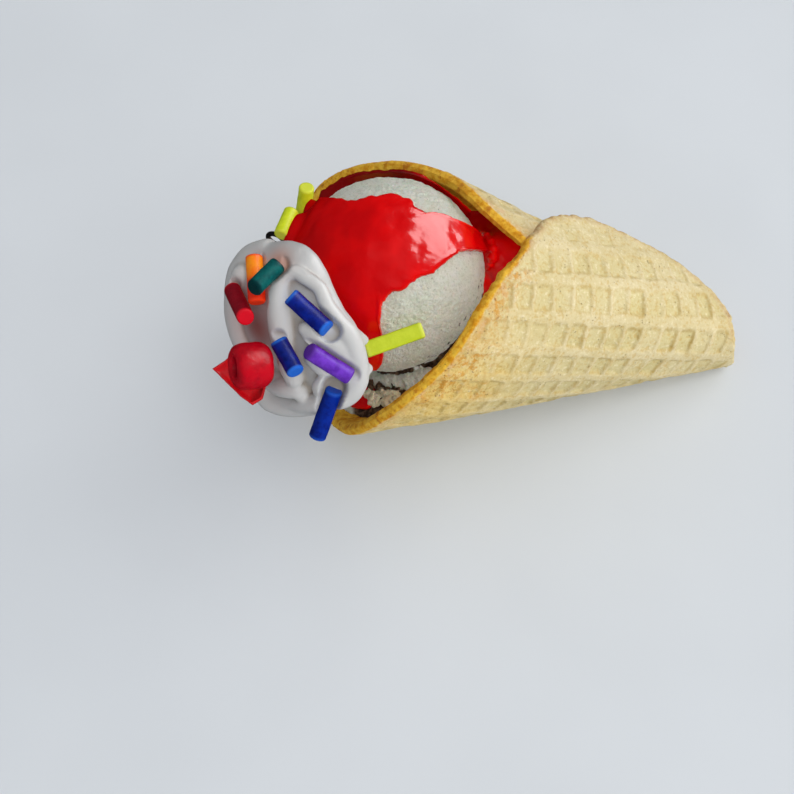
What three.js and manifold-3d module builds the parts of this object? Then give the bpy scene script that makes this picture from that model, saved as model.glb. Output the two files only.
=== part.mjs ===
// An imitation waffle cone sundae, lying on its side: a rolled waffle sheet that holds a scoop of foam
// ice cream, with strawberry sauce, a whipped cream swirl, a cherry, fat sugar rods and a wire eye to hang
// it by. Millimetres, +Z up. The cone's tip points along +X and its mouth opens towards -X.
import * as THREE from "three";
import { mergeVertices } from "three/addons/utils/BufferGeometryUtils.js";
import Module from "manifold-3d";

const wasm = await Module();
wasm.setup();

const DEG = Math.PI / 180;
const GAP = 0.35; // clearance between pieces that touch

// The cone: a sheet rolled about an axis that starts at the virtual tip and rises by the half angle, so
// that the underside lies along the floor.
const TIP = new THREE.Vector3(103.6, 13, 0);
const HALF_ANGLE = 16.5 * DEG;
const YAW = 1.5 * DEG;
const WALL = 3;
const LAP_LIFT = 3.7; // the outer lap stands off the sheet below by this much
const LAP_RAMP = [0, 80]; // degrees round the cone over which the sheet sinks from the outer lap
const FLARE = 0.35; // what is left of the roll's curvature in the flap's free edge
const FLAT_SPOT = 1; // how deep the underside is pressed flat where it rests
const REST_RISE = 0.12; // the flattened strip is this much higher away from its resting spots
const REST_SPOTS = [[-21, 4.6, 3], [-16, 16, 3], [80, 14, 4]]; // centre and radius on the floor

// The unrolled sheet, measured from the virtual tip. The first points are the tip's blunt end and the
// flap's free edge, the next the rim of the mouth, the last the inner edge that the flap covers.
const SHEET_OUTLINE = [
  [27.5, 3], [33, -4], [43, -10.5], [58, -13.5], [75, -13], [85, -8], [92.5, 1.5], [99.5, 13],
  [103, 32], [104.5, 46], [99.5, 67], [88, 87], [66, 111], [40, 124], [20, 117.5], [3, 107],
  [-10, 99], [-15.5, 89], [-17, 74], [-13.5, 50], [-8.5, 32], [-4.5, 25], [6, 22.5], [14, 16.5], [20, 9],
];
const OUTLINE_STEPS = 240;

// The waffle's rows run along the cone, with ribs between the cells of a row.
const ROW_TURN = 13 * DEG;
const ROW_PITCH = 7.6;
const ROW_RIDGE = 2.8;
const ROW_START = -5;
const RIB_PITCH = 5.4;
const RIB_START = 83.1;
const CELL_SLOPE = 0.8;
const CELL_DEPTH = 0.6;
const SLIVER = 0.7;

// The face frame looks down on the object: x to the right, y up the view, z towards the eye.
const FACE_RISE = 62 * DEG;
const SCOOP_CENTRE = new THREE.Vector3(-2, 14, 34);
const SCOOP_R = 22.4;

// The filling starts just inside the open tip and ends at a plane tilted like the slanted mouth.
const FILL_BOTTOM = 30;
const FILL_TOP = 78;
const FILL_TILT = 35 * DEG;
const FILL_TOWARDS = -12 * DEG;

const SAUCE_THICK = 1.1;
const SAUCE_EDGE_THICK = 0.5;
const SAUCE_FACET_SAG = 0.3; // keeps the middles of its facets off the scoop
const SAUCE_POLE = [-6, 4];
// the sauce's edge on the scoop, in the face frame, clockwise; the third value marks the far side
const SAUCE_EDGE = [
  [21.3, 5, true], [15.7, 3.4], [12.4, 1.4], [10, -1.2], [6.5, -2.6], [3.8, -4.9], [0.1, -6.7], [-1.6, -11.8],
  [-0.7, -17.5], [-3, -21.5], [-10, -19.5], [-17, -14], [-21, -6.5], [-21.5, 4, true], [-17.5, 13, true],
  [-12.3, 15.9], [-7.8, 14.7], [-3.6, 15.4], [1.9, 15.9], [4.7, 14.8], [6.1, 13.2], [8.4, 11.7],
  [10.6, 11.9], [15.4, 10.4], [20.1, 8.5],
];

// The swirl sits on the scoop along an axis given in the face frame: a squat dome under a spiral rope.
const SWIRL_TILT = 38 * DEG; // of the axis towards the eye
const SWIRL_BEARING = 214 * DEG; // of the axis about the line to the eye
const SWIRL_AWAY = 29.3; // from the scoop's centre to the dome's centre
const SWIRL_R = 19;
const SWIRL_STRETCH = 1.08; // the dome is a little longer across the line of the cone
const SWIRL_HALF_HEIGHT = 10.5;
const SWIRL_PEAK = 4;
const SWIRL_PEAK_WIDTH = 5;
const SWIRL_TUCK = 155 * DEG; // polar angle at which the dome turns in to its flat underside
const ROPE_PITCH = 8;
const ROPE_DEPTH = 2.2;
const ROPE_BITE = 0.96; // 1 would cut the creases between turns as deep as the rope is high
const ROPE_LIFT = 0.2; // share of its depth that the rope stands above the dome
const ROPE_POLE = [4, 3]; // where the spiral ends, off the dome's axis
const ROPE_TURN = 40 * DEG;

const POOL_DEPTH = 2.4;
const POOL_TOWARDS = -70 * DEG; // the side of the mouth that the sauce has pooled on
const POOL_REACH = 2; // how far the pool goes past the cone's axis

const FOOT_CRUMBS = 8;
const FOOT_BEARINGS = [256, 318]; // degrees in the face frame
const CRUMB_R = 3.4;
const CRUMB_DEPTH = -5; // in the face frame

const CHERRY_AT = [-28.8, -21.8, 30]; // in the face frame
const CHERRY_R = 4.9;
const CHERRY_DIMPLE = [-0.64, -0.13, 0.76];
const SCRAP_THICK = 1.3;
const SCRAP_OUTLINE = [[-8.6, -0.5], [-2.5, -6.6], [0, -8.2], [2, -7], [3, -3.5], [2.5, 2], [-5, 2]];

const EYE_TOWARDS = [-0.935, 0.313, -0.17]; // in the face frame
const EYE_WIRE_R = 0.6;
const EYE_RING_R = 2;
const EYE_STANDS = 4; // shank between the scoop and the ring
const EYE_SUNK = 6;

// The rods: ends of each axis in the face frame, and radius. One is square, and its radius goes to a corner.
const ROUND_ROD_SIDES = 8;
const RODS = [
  { name: "rod_yellow_upper", colour: 0xcfe01e, from: [-18.8, 20.1, 2], to: [-20.2, 14.9, -5], radius: 1.8 },
  { name: "rod_yellow_lower", colour: 0xcfe01e, from: [-22.3, 14.7, 1.5], to: [-24.5, 8.5, 5], radius: 1.8 },
  { name: "rod_orange", colour: 0xf4711a, from: [-28.4, 1.6, 26], to: [-27.5, -8.5, 28.5], radius: 1.85 },
  { name: "rod_teal", colour: 0x0f6a62, from: [-22.6, -0.6, 31.5], to: [-28.2, -6.4, 33.5], radius: 1.85 },
  { name: "rod_dark_red", colour: 0xa30a24, from: [-33.8, -4.9, 20], to: [-29.7, -11.9, 29], radius: 1.85 },
  { name: "rod_blue_long", colour: 0x16389c, from: [-20.1, -7.4, 34], to: [-11.8, -14.9, 33], radius: 1.9 },
  { name: "rod_blue_middle", colour: 0x16389c,
    from: [-22.9, -16.4, 30.5], to: [-18.7, -23.9, 30.5], radius: 1.9 },
  { name: "rod_purple", colour: 0x5b2fa8, from: [-17, -18.3, 32], to: [-7.7, -24.1, 29.5], radius: 1.85 },
  { name: "rod_lime", colour: 0xc4dc20,
    from: [-4.9, -18.2, 21], to: [7.9, -13.6, 19.4], radius: 2.5, sides: 4 },
  { name: "rod_blue_lower", colour: 0x16389c, from: [-11.3, -26.4, 24], to: [-15.4, -37.2, 20], radius: 1.9 },
];

// ---------------------------------------------------------------- small helpers
const mix = (a, b, t) => a + (b - a) * t;

function smooth(from, to, x) {
  const t = Math.min(1, Math.max(0, (x - from) / (to - from)));
  return t * t * (3 - 2 * t);
}

function closedGeometry(points, triangles) {
  const geometry = new THREE.BufferGeometry();
  const places = points.flatMap((p) => [p.x, p.y, p.z]);
  geometry.setAttribute("position", new THREE.Float32BufferAttribute(places, 3));
  geometry.setIndex(triangles.flat());
  return geometry;
}

function toSolid(geometry) {
  const bare = geometry.clone();
  bare.deleteAttribute("normal");
  bare.deleteAttribute("uv");
  const merged = mergeVertices(bare, 1e-5);
  return new wasm.Manifold(new wasm.Mesh({
    numProp: 3,
    vertProperties: new Float32Array(merged.attributes.position.array),
    triVerts: new Uint32Array(merged.index.array),
  }));
}

function fromSolid(solid) {
  const mesh = solid.getMesh();
  const geometry = new THREE.BufferGeometry();
  geometry.setAttribute("position", new THREE.BufferAttribute(mesh.vertProperties, 3));
  geometry.setIndex(new THREE.BufferAttribute(mesh.triVerts, 1));
  return geometry;
}

// ---------------------------------------------------------------- the cone's frame
const axis = new THREE.Vector3(
  -Math.cos(HALF_ANGLE) * Math.cos(YAW), -Math.cos(HALF_ANGLE) * Math.sin(YAW), Math.sin(HALF_ANGLE));
const side = new THREE.Vector3(Math.sin(YAW), -Math.cos(YAW), 0);
const up = new THREE.Vector3().crossVectors(axis, side).normalize();

// Away from the cone's axis, at an angle round it: 0 on top, 90 degrees on the -Y side.
function outward(angle) {
  return up.clone().multiplyScalar(Math.cos(angle)).addScaledVector(side, Math.sin(angle));
}

// Straight line of the cone at an angle round it, the direction of growing angle, and the outward normal.
function coneFrame(angle) {
  const radial = outward(angle);
  return {
    line: axis.clone().multiplyScalar(Math.cos(HALF_ANGLE)).addScaledVector(radial, Math.sin(HALF_ANGLE)),
    along: up.clone().multiplyScalar(-Math.sin(angle)).addScaledVector(side, Math.cos(angle)),
    normal: radial.multiplyScalar(Math.cos(HALF_ANGLE)).addScaledVector(axis, -Math.sin(HALF_ANGLE)),
  };
}

// Rolls a point of the flat sheet: x, y from the virtual tip, height above the sheet's outer face.
function roll(x, y, height) {
  const reach = Math.hypot(x, y);
  const turn = Math.atan2(y, x);
  const angle = turn / Math.sin(HALF_ANGLE);
  const frame = coneFrame(Math.max(angle, 0));
  if (angle < 0) {
    // the flap goes on with less curvature, so its free edge stands proud
    const spin = frame.normal.clone().addScaledVector(frame.line, -FLARE / Math.tan(HALF_ANGLE));
    const sense = Math.sign(new THREE.Vector3().crossVectors(spin, frame.line).dot(frame.along));
    const size = spin.length();
    const turned = new THREE.Quaternion().setFromAxisAngle(spin.normalize(), sense * turn * size);
    frame.line.applyQuaternion(turned);
    frame.normal.applyQuaternion(turned);
  }
  const lift = LAP_LIFT * (1 - smooth(LAP_RAMP[0], LAP_RAMP[1], angle / DEG));
  return TIP.clone().addScaledVector(frame.line, reach).addScaledVector(frame.normal, height + lift);
}

// How low the underside may reach at a place: the whole lies on the resting spots alone.
function lowestAt(p) {
  const resting = REST_SPOTS.some(([x, y, radius]) => Math.hypot(p.x - x, p.y - y) < radius);
  return FLAT_SPOT + (resting ? 0 : REST_RISE);
}

// ---------------------------------------------------------------- the waffle sheet
// The sheet's outline in its row frame: u along the rows, w across them.
function sheetOutline() {
  const points = SHEET_OUTLINE.map(([x, y]) => new THREE.Vector3(x, y, 0));
  const curve = new THREE.CatmullRomCurve3(points, true, "centripetal");
  return curve.getSpacedPoints(OUTLINE_STEPS).slice(0, -1).map((p) => ({
    u: p.x * Math.cos(ROW_TURN) + p.y * Math.sin(ROW_TURN),
    w: -p.x * Math.sin(ROW_TURN) + p.y * Math.cos(ROW_TURN),
  }));
}

// First and last u of the outline on the line of constant w.
function span(outline, w) {
  const hits = [];
  outline.forEach((p, i) => {
    const q = outline[(i + 1) % outline.length];
    if ((p.w <= w) !== (q.w <= w)) hits.push(mix(p.u, q.u, (w - p.w) / (q.w - p.w)));
  });
  return [Math.min(...hits), Math.max(...hits)];
}

// 0 in the ridges and ribs, 1 on a cell's floor
function cellAt(u, w) {
  const across = THREE.MathUtils.euclideanModulo(w - ROW_START, ROW_PITCH);
  const inRow = Math.min(across, ROW_PITCH - across) / (ROW_RIDGE / 2);
  const past = THREE.MathUtils.euclideanModulo(u - RIB_START, RIB_PITCH);
  const inCell = Math.min(past, RIB_PITCH - past) / CELL_SLOPE;
  return Math.min(1, Math.max(0, inRow)) * Math.min(1, Math.max(0, inCell));
}

function repeatedStops(from, to, start, pitch, offsets) {
  const stops = [];
  for (let k = Math.floor((from - start) / pitch); k * pitch + start < to; k += 1) {
    offsets.forEach((offset) => stops.push(start + k * pitch + offset));
  }
  return stops.filter((s) => s > from && s < to).sort((a, b) => a - b);
}

// Joins two rows of vertices, sorted by u, with triangles.
function strip(low, high, triangles, flip) {
  let i = 0;
  let j = 0;
  while (i < low.length - 1 || j < high.length - 1) {
    const advanceLow = j === high.length - 1
      || (i < low.length - 1 && low[i + 1].u + low[i].u < high[j + 1].u + high[j].u);
    const tri = advanceLow ? [low[i].id, low[i + 1].id, high[j].id] : [low[i].id, high[j + 1].id, high[j].id];
    triangles.push(flip ? [tri[0], tri[2], tri[1]] : tri);
    if (advanceLow) i += 1;
    else j += 1;
  }
}

function waffleSheet() {
  const outline = sheetOutline();
  const lowest = Math.min(...outline.map((p) => p.w));
  const highest = Math.max(...outline.map((p) => p.w));
  const lines = repeatedStops(lowest + SLIVER, highest - SLIVER, ROW_START, ROW_PITCH,
    [0, ROW_RIDGE / 2, ROW_PITCH - ROW_RIDGE / 2]);
  lines.unshift(lowest + SLIVER / 2);
  lines.push(highest - SLIVER / 2);

  const points = [];
  const triangles = [];
  const vertex = (u, w, height) => {
    const x = u * Math.cos(ROW_TURN) - w * Math.sin(ROW_TURN);
    const y = u * Math.sin(ROW_TURN) + w * Math.cos(ROW_TURN);
    const p = roll(x, y, height);
    p.z = Math.max(p.z, lowestAt(p));
    points.push(p);
    return { u, id: points.length - 1 };
  };
  const edgeInset = 0.4; // the sheet is this much thinner along its edge, on both faces
  const outer = [];
  const inner = [];
  lines.forEach((w) => {
    const [first, last] = span(outline, w);
    const cells = repeatedStops(first + SLIVER, last - SLIVER, RIB_START, RIB_PITCH,
      [0, CELL_SLOPE, RIB_PITCH - CELL_SLOPE]);
    const plain = repeatedStops(first + SLIVER, last - SLIVER, RIB_START, RIB_PITCH, [0]);
    outer.push([
      vertex(first, w, -edgeInset),
      ...cells.map((u) => vertex(u, w, -CELL_DEPTH * cellAt(u, w))),
      vertex(last, w, -edgeInset),
    ]);
    inner.push([
      vertex(first, w, edgeInset - WALL),
      ...plain.map((u) => vertex(u, w, -WALL)),
      vertex(last, w, edgeInset - WALL),
    ]);
  });
  const end = (row) => row[row.length - 1];
  for (let k = 0; k + 1 < lines.length; k += 1) {
    strip(outer[k], outer[k + 1], triangles, false);
    strip(inner[k], inner[k + 1], triangles, true);
    triangles.push([outer[k][0].id, outer[k + 1][0].id, inner[k][0].id]);
    triangles.push([inner[k][0].id, outer[k + 1][0].id, inner[k + 1][0].id]);
    triangles.push([end(outer[k]).id, end(inner[k]).id, end(outer[k + 1]).id]);
    triangles.push([end(inner[k]).id, end(inner[k + 1]).id, end(outer[k + 1]).id]);
  }
  const lastRow = lines.length - 1;
  strip(inner[0], outer[0], triangles, false);
  strip(outer[lastRow], inner[lastRow], triangles, false);
  return closedGeometry(points, triangles);
}

// ---------------------------------------------------------------- the filling
const faceX = new THREE.Vector3(1, 0, 0);
const faceY = new THREE.Vector3(0, Math.sin(FACE_RISE), Math.cos(FACE_RISE));
const faceZ = new THREE.Vector3(0, -Math.cos(FACE_RISE), Math.sin(FACE_RISE));

// A point of the face frame, whose origin is the scoop's centre.
function facePoint(x, y, z) {
  return SCOOP_CENTRE.clone().addScaledVector(faceX, x).addScaledVector(faceY, y).addScaledVector(faceZ, z);
}

function turnTo(geometry, x, y, z, origin) {
  return geometry.applyMatrix4(new THREE.Matrix4().makeBasis(x, y, z).setPosition(origin));
}

const fillNormal = axis.clone().multiplyScalar(Math.cos(FILL_TILT))
  .addScaledVector(outward(FILL_TOWARDS), Math.sin(FILL_TILT));

// The cone's inside between two planes tilted like the mouth, clear of the wall unless it is grown.
function coneInside(fromDistance, toDistance, grown = 0) {
  const near = FILL_BOTTOM;
  const far = 140;
  const radiusAt = (d) => d * Math.tan(HALF_ANGLE) - WALL / Math.cos(HALF_ANGLE) - GAP + grown;
  const profile = [[0, near], [radiusAt(near), near], [radiusAt(far), far], [0, far]];
  const cone = new THREE.LatheGeometry(profile.map(([r, d]) => new THREE.Vector2(r, d)), 30);
  turnTo(cone, side, axis, new THREE.Vector3().crossVectors(side, axis), TIP);
  const slab = new THREE.BoxGeometry(200, 200, toDistance - fromDistance);
  slab.translate(0, 0, (fromDistance + toDistance) / 2);
  const slabY = new THREE.Vector3().crossVectors(fillNormal, faceX).normalize();
  turnTo(slab, new THREE.Vector3().crossVectors(slabY, fillNormal), slabY, fillNormal, TIP);
  return toSolid(cone).intersect(toSolid(slab));
}

function ball(radius, centre, across = 28, down = 18) {
  return toSolid(new THREE.SphereGeometry(radius, across, down).translate(centre.x, centre.y, centre.z));
}

// The ragged foot of the scoop: torn crumbs along its lower edge, no two alike.
function footCrumbs() {
  const crumbs = [];
  for (let k = 0; k < FOOT_CRUMBS; k += 1) {
    const bearing = mix(FOOT_BEARINGS[0], FOOT_BEARINGS[1], k / (FOOT_CRUMBS - 1)) * DEG;
    const size = CRUMB_R * (1 + 0.26 * Math.sin(k * 2.3));
    const away = SCOOP_R + 1.2 + 1.3 * Math.sin(k * 1.7);
    const crumb = new THREE.IcosahedronGeometry(size, 1);
    crumb.scale(1, 0.8 + 0.2 * Math.cos(k * 3.1), 1.1);
    const depth = CRUMB_DEPTH + 1.2 * Math.cos(k * 2.9);
    const centre = facePoint(away * Math.cos(bearing), away * Math.sin(bearing), depth);
    crumbs.push(toSolid(crumb.translate(centre.x, centre.y, centre.z)));
  }
  return crumbs;
}

function scoop() {
  let solid = ball(SCOOP_R, SCOOP_CENTRE).add(coneInside(0, FILL_TOP));
  footCrumbs().forEach((crumb) => { solid = solid.add(crumb); });
  return fromSolid(solid.intersect(coneInside(0, 400)).subtract(eyeShank(EYE_WIRE_R + GAP)));
}

// ---------------------------------------------------------------- the strawberry sauce
// Direction from the scoop's centre to a point of its surface given in the face frame.
function scoopDirection([x, y, farSide]) {
  const depth = Math.sqrt(Math.max(0, SCOOP_R ** 2 - x * x - y * y));
  return facePoint(x, y, farSide ? -depth : depth).sub(SCOOP_CENTRE).normalize();
}

// The direction that is part of the way round from one direction to another.
function turnedTowards(from, to, part) {
  const turn = from.angleTo(to);
  const start = from.clone().multiplyScalar(Math.sin((1 - part) * turn));
  return start.addScaledVector(to, Math.sin(part * turn)).normalize();
}

function sauceCoat() {
  const around = 40;
  const rings = 6;
  const pole = scoopDirection(SAUCE_POLE);
  const edge = new THREE.CatmullRomCurve3(SAUCE_EDGE.map(scoopDirection), true, "centripetal")
    .getSpacedPoints(around).slice(0, -1).map((d) => d.normalize());
  const points = [];
  const triangles = [];
  const base = SCOOP_R + GAP + SAUCE_FACET_SAG;
  const place = (direction, radius) => points.push(SCOOP_CENTRE.clone().addScaledVector(direction, radius)) - 1;
  const skin = (radiusAt, flip) => {
    const top = place(pole, radiusAt(0));
    let last = edge.map(() => top);
    for (let k = 1; k <= rings; k += 1) {
      const part = k / rings;
      const ring = edge.map((d) => place(turnedTowards(pole, d, part), radiusAt(part)));
      ring.forEach((_, i) => {
        const n = (i + 1) % ring.length;
        const quad = k === 1 ? [[top, ring[i], ring[n]]]
          : [[last[i], ring[i], ring[n]], [last[i], ring[n], last[n]]];
        quad.forEach((t) => triangles.push(flip ? [t[0], t[2], t[1]] : t));
      });
      last = ring;
    }
    return last;
  };
  const topRing = skin((part) => base + mix(SAUCE_THICK, SAUCE_EDGE_THICK, smooth(0.8, 1, part)), true);
  const lowRing = skin(() => base, false);
  topRing.forEach((id, i) => {
    const n = (i + 1) % topRing.length;
    triangles.push([id, topRing[n], lowRing[i]], [topRing[n], lowRing[n], lowRing[i]]);
  });
  return toSolid(closedGeometry(points, triangles));
}

function sauce() {
  const half = new THREE.BoxGeometry(400, 400, 100).translate(0, 0, 50 - POOL_REACH);
  const towards = outward(POOL_TOWARDS);
  turnTo(half, axis, new THREE.Vector3().crossVectors(towards, axis), towards, TIP);
  const pool = coneInside(FILL_TOP + GAP, FILL_TOP + POOL_DEPTH).intersect(toSolid(half));
  const coat = sauceCoat().subtract(coneInside(0, FILL_TOP + GAP, WALL));
  const spread = coat.add(pool.subtract(ball(SCOOP_R + GAP, SCOOP_CENTRE)));
  return fromSolid(spread.subtract(eyeShank(EYE_WIRE_R + GAP)));
}

// ---------------------------------------------------------------- the whipped cream
const swirlAxis = facePoint(Math.cos(SWIRL_BEARING) * Math.cos(SWIRL_TILT),
  Math.sin(SWIRL_BEARING) * Math.cos(SWIRL_TILT), Math.sin(SWIRL_TILT)).sub(SCOOP_CENTRE);
const swirlX = facePoint(-Math.sin(SWIRL_BEARING), Math.cos(SWIRL_BEARING), 0).sub(SCOOP_CENTRE);
const swirlY = new THREE.Vector3().crossVectors(swirlAxis, swirlX);
const swirlCentre = SCOOP_CENTRE.clone().addScaledVector(swirlAxis, SWIRL_AWAY);

// Surface of the swirl towards a direction: polar angle from the peak, and angle round the axis.
function swirlPoint(polar, around) {
  const flat = SWIRL_R * Math.sin(polar);
  const rise = SWIRL_HALF_HEIGHT * Math.cos(polar);
  const walk = polar * (SWIRL_R + SWIRL_HALF_HEIGHT) / 2; // about the way over the dome from its peak
  const x = walk * Math.cos(around) - ROPE_POLE[0];
  const y = walk * Math.sin(around) - ROPE_POLE[1];
  const phase = Math.hypot(x, y) / ROPE_PITCH + (Math.atan2(y, x) + ROPE_TURN) / (2 * Math.PI);
  const across = 2 * (phase - Math.floor(phase)) - 1;
  const rope = ROPE_DEPTH * (Math.sqrt(1 - ROPE_BITE * across * across) - 1 + ROPE_LIFT);
  const size = 1 + rope / Math.hypot(flat, rise);
  const peak = SWIRL_PEAK * Math.exp(-((walk / SWIRL_PEAK_WIDTH) ** 2));
  return swirlCentre.clone()
    .addScaledVector(swirlX, SWIRL_STRETCH * flat * size * Math.cos(around))
    .addScaledVector(swirlY, flat * size * Math.sin(around))
    .addScaledVector(swirlAxis, rise * size + peak);
}

function whippedCream(pockets) {
  const down = 18;
  const around = 36;
  const points = [swirlPoint(0, 0)];
  const triangles = [];
  for (let k = 1; k < down; k += 1) {
    for (let i = 0; i < around; i += 1) {
      points.push(swirlPoint((k / down) * SWIRL_TUCK, (i / around) * 2 * Math.PI));
      const n = (i + 1) % around;
      const row = 1 + (k - 1) * around;
      if (k === 1) triangles.push([0, row + i, row + n]);
      else triangles.push([row - around + i, row + i, row + n], [row - around + i, row + n, row - around + n]);
    }
  }
  const lastRow = 1 + (down - 2) * around;
  const foot = points.push(swirlCentre.clone().addScaledVector(swirlAxis, -SWIRL_HALF_HEIGHT)) - 1;
  for (let i = 0; i < around; i += 1) triangles.push([foot, lastRow + ((i + 1) % around), lastRow + i]);
  const seat = ball(SCOOP_R + SAUCE_FACET_SAG + SAUCE_THICK + 2.3 * GAP, SCOOP_CENTRE);
  let solid = toSolid(closedGeometry(points, triangles)).subtract(seat);
  pockets.forEach((pocket) => { solid = solid.subtract(pocket); });
  return fromSolid(solid);
}

// ---------------------------------------------------------------- cherry, rods and wire eye
const cherryCentre = facePoint(...CHERRY_AT);

function cherry() {
  // a dimpled round profile, from the dimple's floor down to the underside
  const profile = [[0, 0.45], [0.16, 0.55], [0.3, 0.85], [0.5, 0.97], [0.78, 0.82], [0.97, 0.4], [1, -0.05],
    [0.88, -0.5], [0.55, -0.86], [0, -0.98]];
  const geometry = new THREE.LatheGeometry(
    profile.reverse().map(([r, h]) => new THREE.Vector2(r * CHERRY_R, h * CHERRY_R)), 18);
  const dimple = facePoint(...CHERRY_DIMPLE).sub(SCOOP_CENTRE).normalize();
  const across = new THREE.Vector3().crossVectors(dimple, faceX).normalize();
  turnTo(geometry, across, dimple, new THREE.Vector3().crossVectors(across, dimple), cherryCentre);
  return fromSolid(toSolid(geometry));
}

// The flat pointed scrap under the cherry; margin grows it on every side.
function scrap(margin = 0) {
  const outline = new THREE.Shape(SCRAP_OUTLINE.map(([x, y]) => new THREE.Vector2(x, y)));
  const geometry = new THREE.ExtrudeGeometry(outline, { depth: SCRAP_THICK + 2 * margin, bevelEnabled: false });
  const grown = 1 + margin / 4;
  geometry.scale(grown, grown, 1).translate(0, 0, -CHERRY_R - GAP - SCRAP_THICK - margin);
  return toSolid(turnTo(geometry, faceX, faceY, faceZ, cherryCentre));
}

// A rod; margin grows it on every side.
function rod({ from, to, radius, sides = ROUND_ROD_SIDES }, margin = 0) {
  const start = facePoint(...from);
  const end = facePoint(...to);
  const along = end.clone().sub(start).normalize();
  const across = new THREE.Vector3().crossVectors(along, faceZ).normalize();
  const thick = radius + margin;
  const geometry = new THREE.CylinderGeometry(thick, thick, start.distanceTo(end) + 2 * margin, sides);
  geometry.rotateY(Math.PI / sides);
  turnTo(geometry, across, along, new THREE.Vector3().crossVectors(across, along), start.lerp(end, 0.5));
  return toSolid(geometry);
}

const eyeOut = facePoint(...EYE_TOWARDS).sub(SCOOP_CENTRE).normalize();

function eyeShank(radius) {
  const length = EYE_SUNK + EYE_STANDS;
  const shank = new THREE.CylinderGeometry(radius, radius, length + (radius - EYE_WIRE_R) * 2, 8);
  shank.translate(0, SCOOP_R + EYE_STANDS - length / 2, 0);
  const across = new THREE.Vector3().crossVectors(eyeOut, faceZ).normalize();
  return toSolid(turnTo(shank, across, eyeOut, new THREE.Vector3().crossVectors(across, eyeOut), SCOOP_CENTRE));
}

function wireEye() {
  const ring = new THREE.TorusGeometry(EYE_RING_R, EYE_WIRE_R, 7, 18);
  const across = new THREE.Vector3().crossVectors(eyeOut, faceX).normalize();
  const centre = SCOOP_CENTRE.clone().addScaledVector(eyeOut, SCOOP_R + EYE_STANDS + EYE_RING_R);
  turnTo(ring, eyeOut, across, new THREE.Vector3().crossVectors(eyeOut, across), centre);
  return fromSolid(toSolid(ring).add(eyeShank(EYE_WIRE_R)));
}

// ---------------------------------------------------------------- assembly
const group = new THREE.Group();

function add(name, geometry, colour, roughness, metalness = 0) {
  const material = new THREE.MeshStandardMaterial({ color: colour, roughness, metalness });
  const mesh = new THREE.Mesh(geometry, material);
  mesh.name = name;
  group.add(mesh);
  return mesh;
}

const rodPockets = RODS.map((item) => rod(item, GAP));

add("waffle_cone", waffleSheet(), 0xe1cda0, 0.7);
add("ice_cream_scoop", scoop(), 0xd0cfba, 0.95);
add("strawberry_sauce", sauce(), 0xd60f12, 0.15);
add("whipped_cream", whippedCream([...rodPockets, scrap(GAP), ball(CHERRY_R + GAP, cherryCentre, 18, 12)]),
  0xe8e4e2, 0.4);
add("cherry", cherry(), 0xc8081c, 0.2);
add("cherry_scrap", fromSolid(scrap()), 0xd3091c, 0.35);
RODS.forEach((item) => add(item.name, fromSolid(rod(item)), item.colour, 0.45));
add("wire_eye", wireEye(), 0x55585c, 0.35, 1);

// The origin is on the floor, below the middle of the whole.
const whole = new THREE.Box3().setFromObject(group);
const middle = whole.getCenter(new THREE.Vector3());
group.position.set(-middle.x, -middle.y, -whole.min.z);

export default group;
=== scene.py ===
"""Looks of the imitation waffle cone sundae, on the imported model's frame.

Shapes are worked out in millimetres in the construction frame of the part, whose origin is the point
that the camera looks at, and are moved to the row's frame in metres when a mesh is made.
"""
import math

import bmesh
import bpy
import numpy as np
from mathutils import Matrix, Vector, noise
from mathutils.kdtree import KDTree


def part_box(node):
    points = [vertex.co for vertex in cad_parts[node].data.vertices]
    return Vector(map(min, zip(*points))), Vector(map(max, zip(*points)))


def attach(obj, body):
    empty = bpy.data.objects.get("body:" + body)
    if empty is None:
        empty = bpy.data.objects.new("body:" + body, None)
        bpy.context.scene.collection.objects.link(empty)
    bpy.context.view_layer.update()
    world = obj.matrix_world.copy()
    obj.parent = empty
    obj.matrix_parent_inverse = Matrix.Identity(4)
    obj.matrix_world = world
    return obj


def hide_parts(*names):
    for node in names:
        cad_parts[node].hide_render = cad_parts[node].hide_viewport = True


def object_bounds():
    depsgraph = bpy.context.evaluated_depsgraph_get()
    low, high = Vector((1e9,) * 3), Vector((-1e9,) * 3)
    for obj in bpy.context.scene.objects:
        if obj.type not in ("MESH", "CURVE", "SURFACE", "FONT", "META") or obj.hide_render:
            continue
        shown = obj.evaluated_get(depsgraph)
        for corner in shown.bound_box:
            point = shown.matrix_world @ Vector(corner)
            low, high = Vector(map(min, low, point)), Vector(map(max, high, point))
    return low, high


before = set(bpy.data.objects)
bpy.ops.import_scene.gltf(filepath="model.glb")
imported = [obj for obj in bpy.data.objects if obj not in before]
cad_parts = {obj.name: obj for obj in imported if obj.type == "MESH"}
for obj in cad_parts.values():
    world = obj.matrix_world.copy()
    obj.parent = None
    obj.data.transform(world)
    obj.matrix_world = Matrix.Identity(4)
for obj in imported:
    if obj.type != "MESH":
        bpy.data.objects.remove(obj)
cad_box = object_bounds()

DEG = math.pi / 180
MM = 0.001
BOX_MARGIN = 0.002

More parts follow.
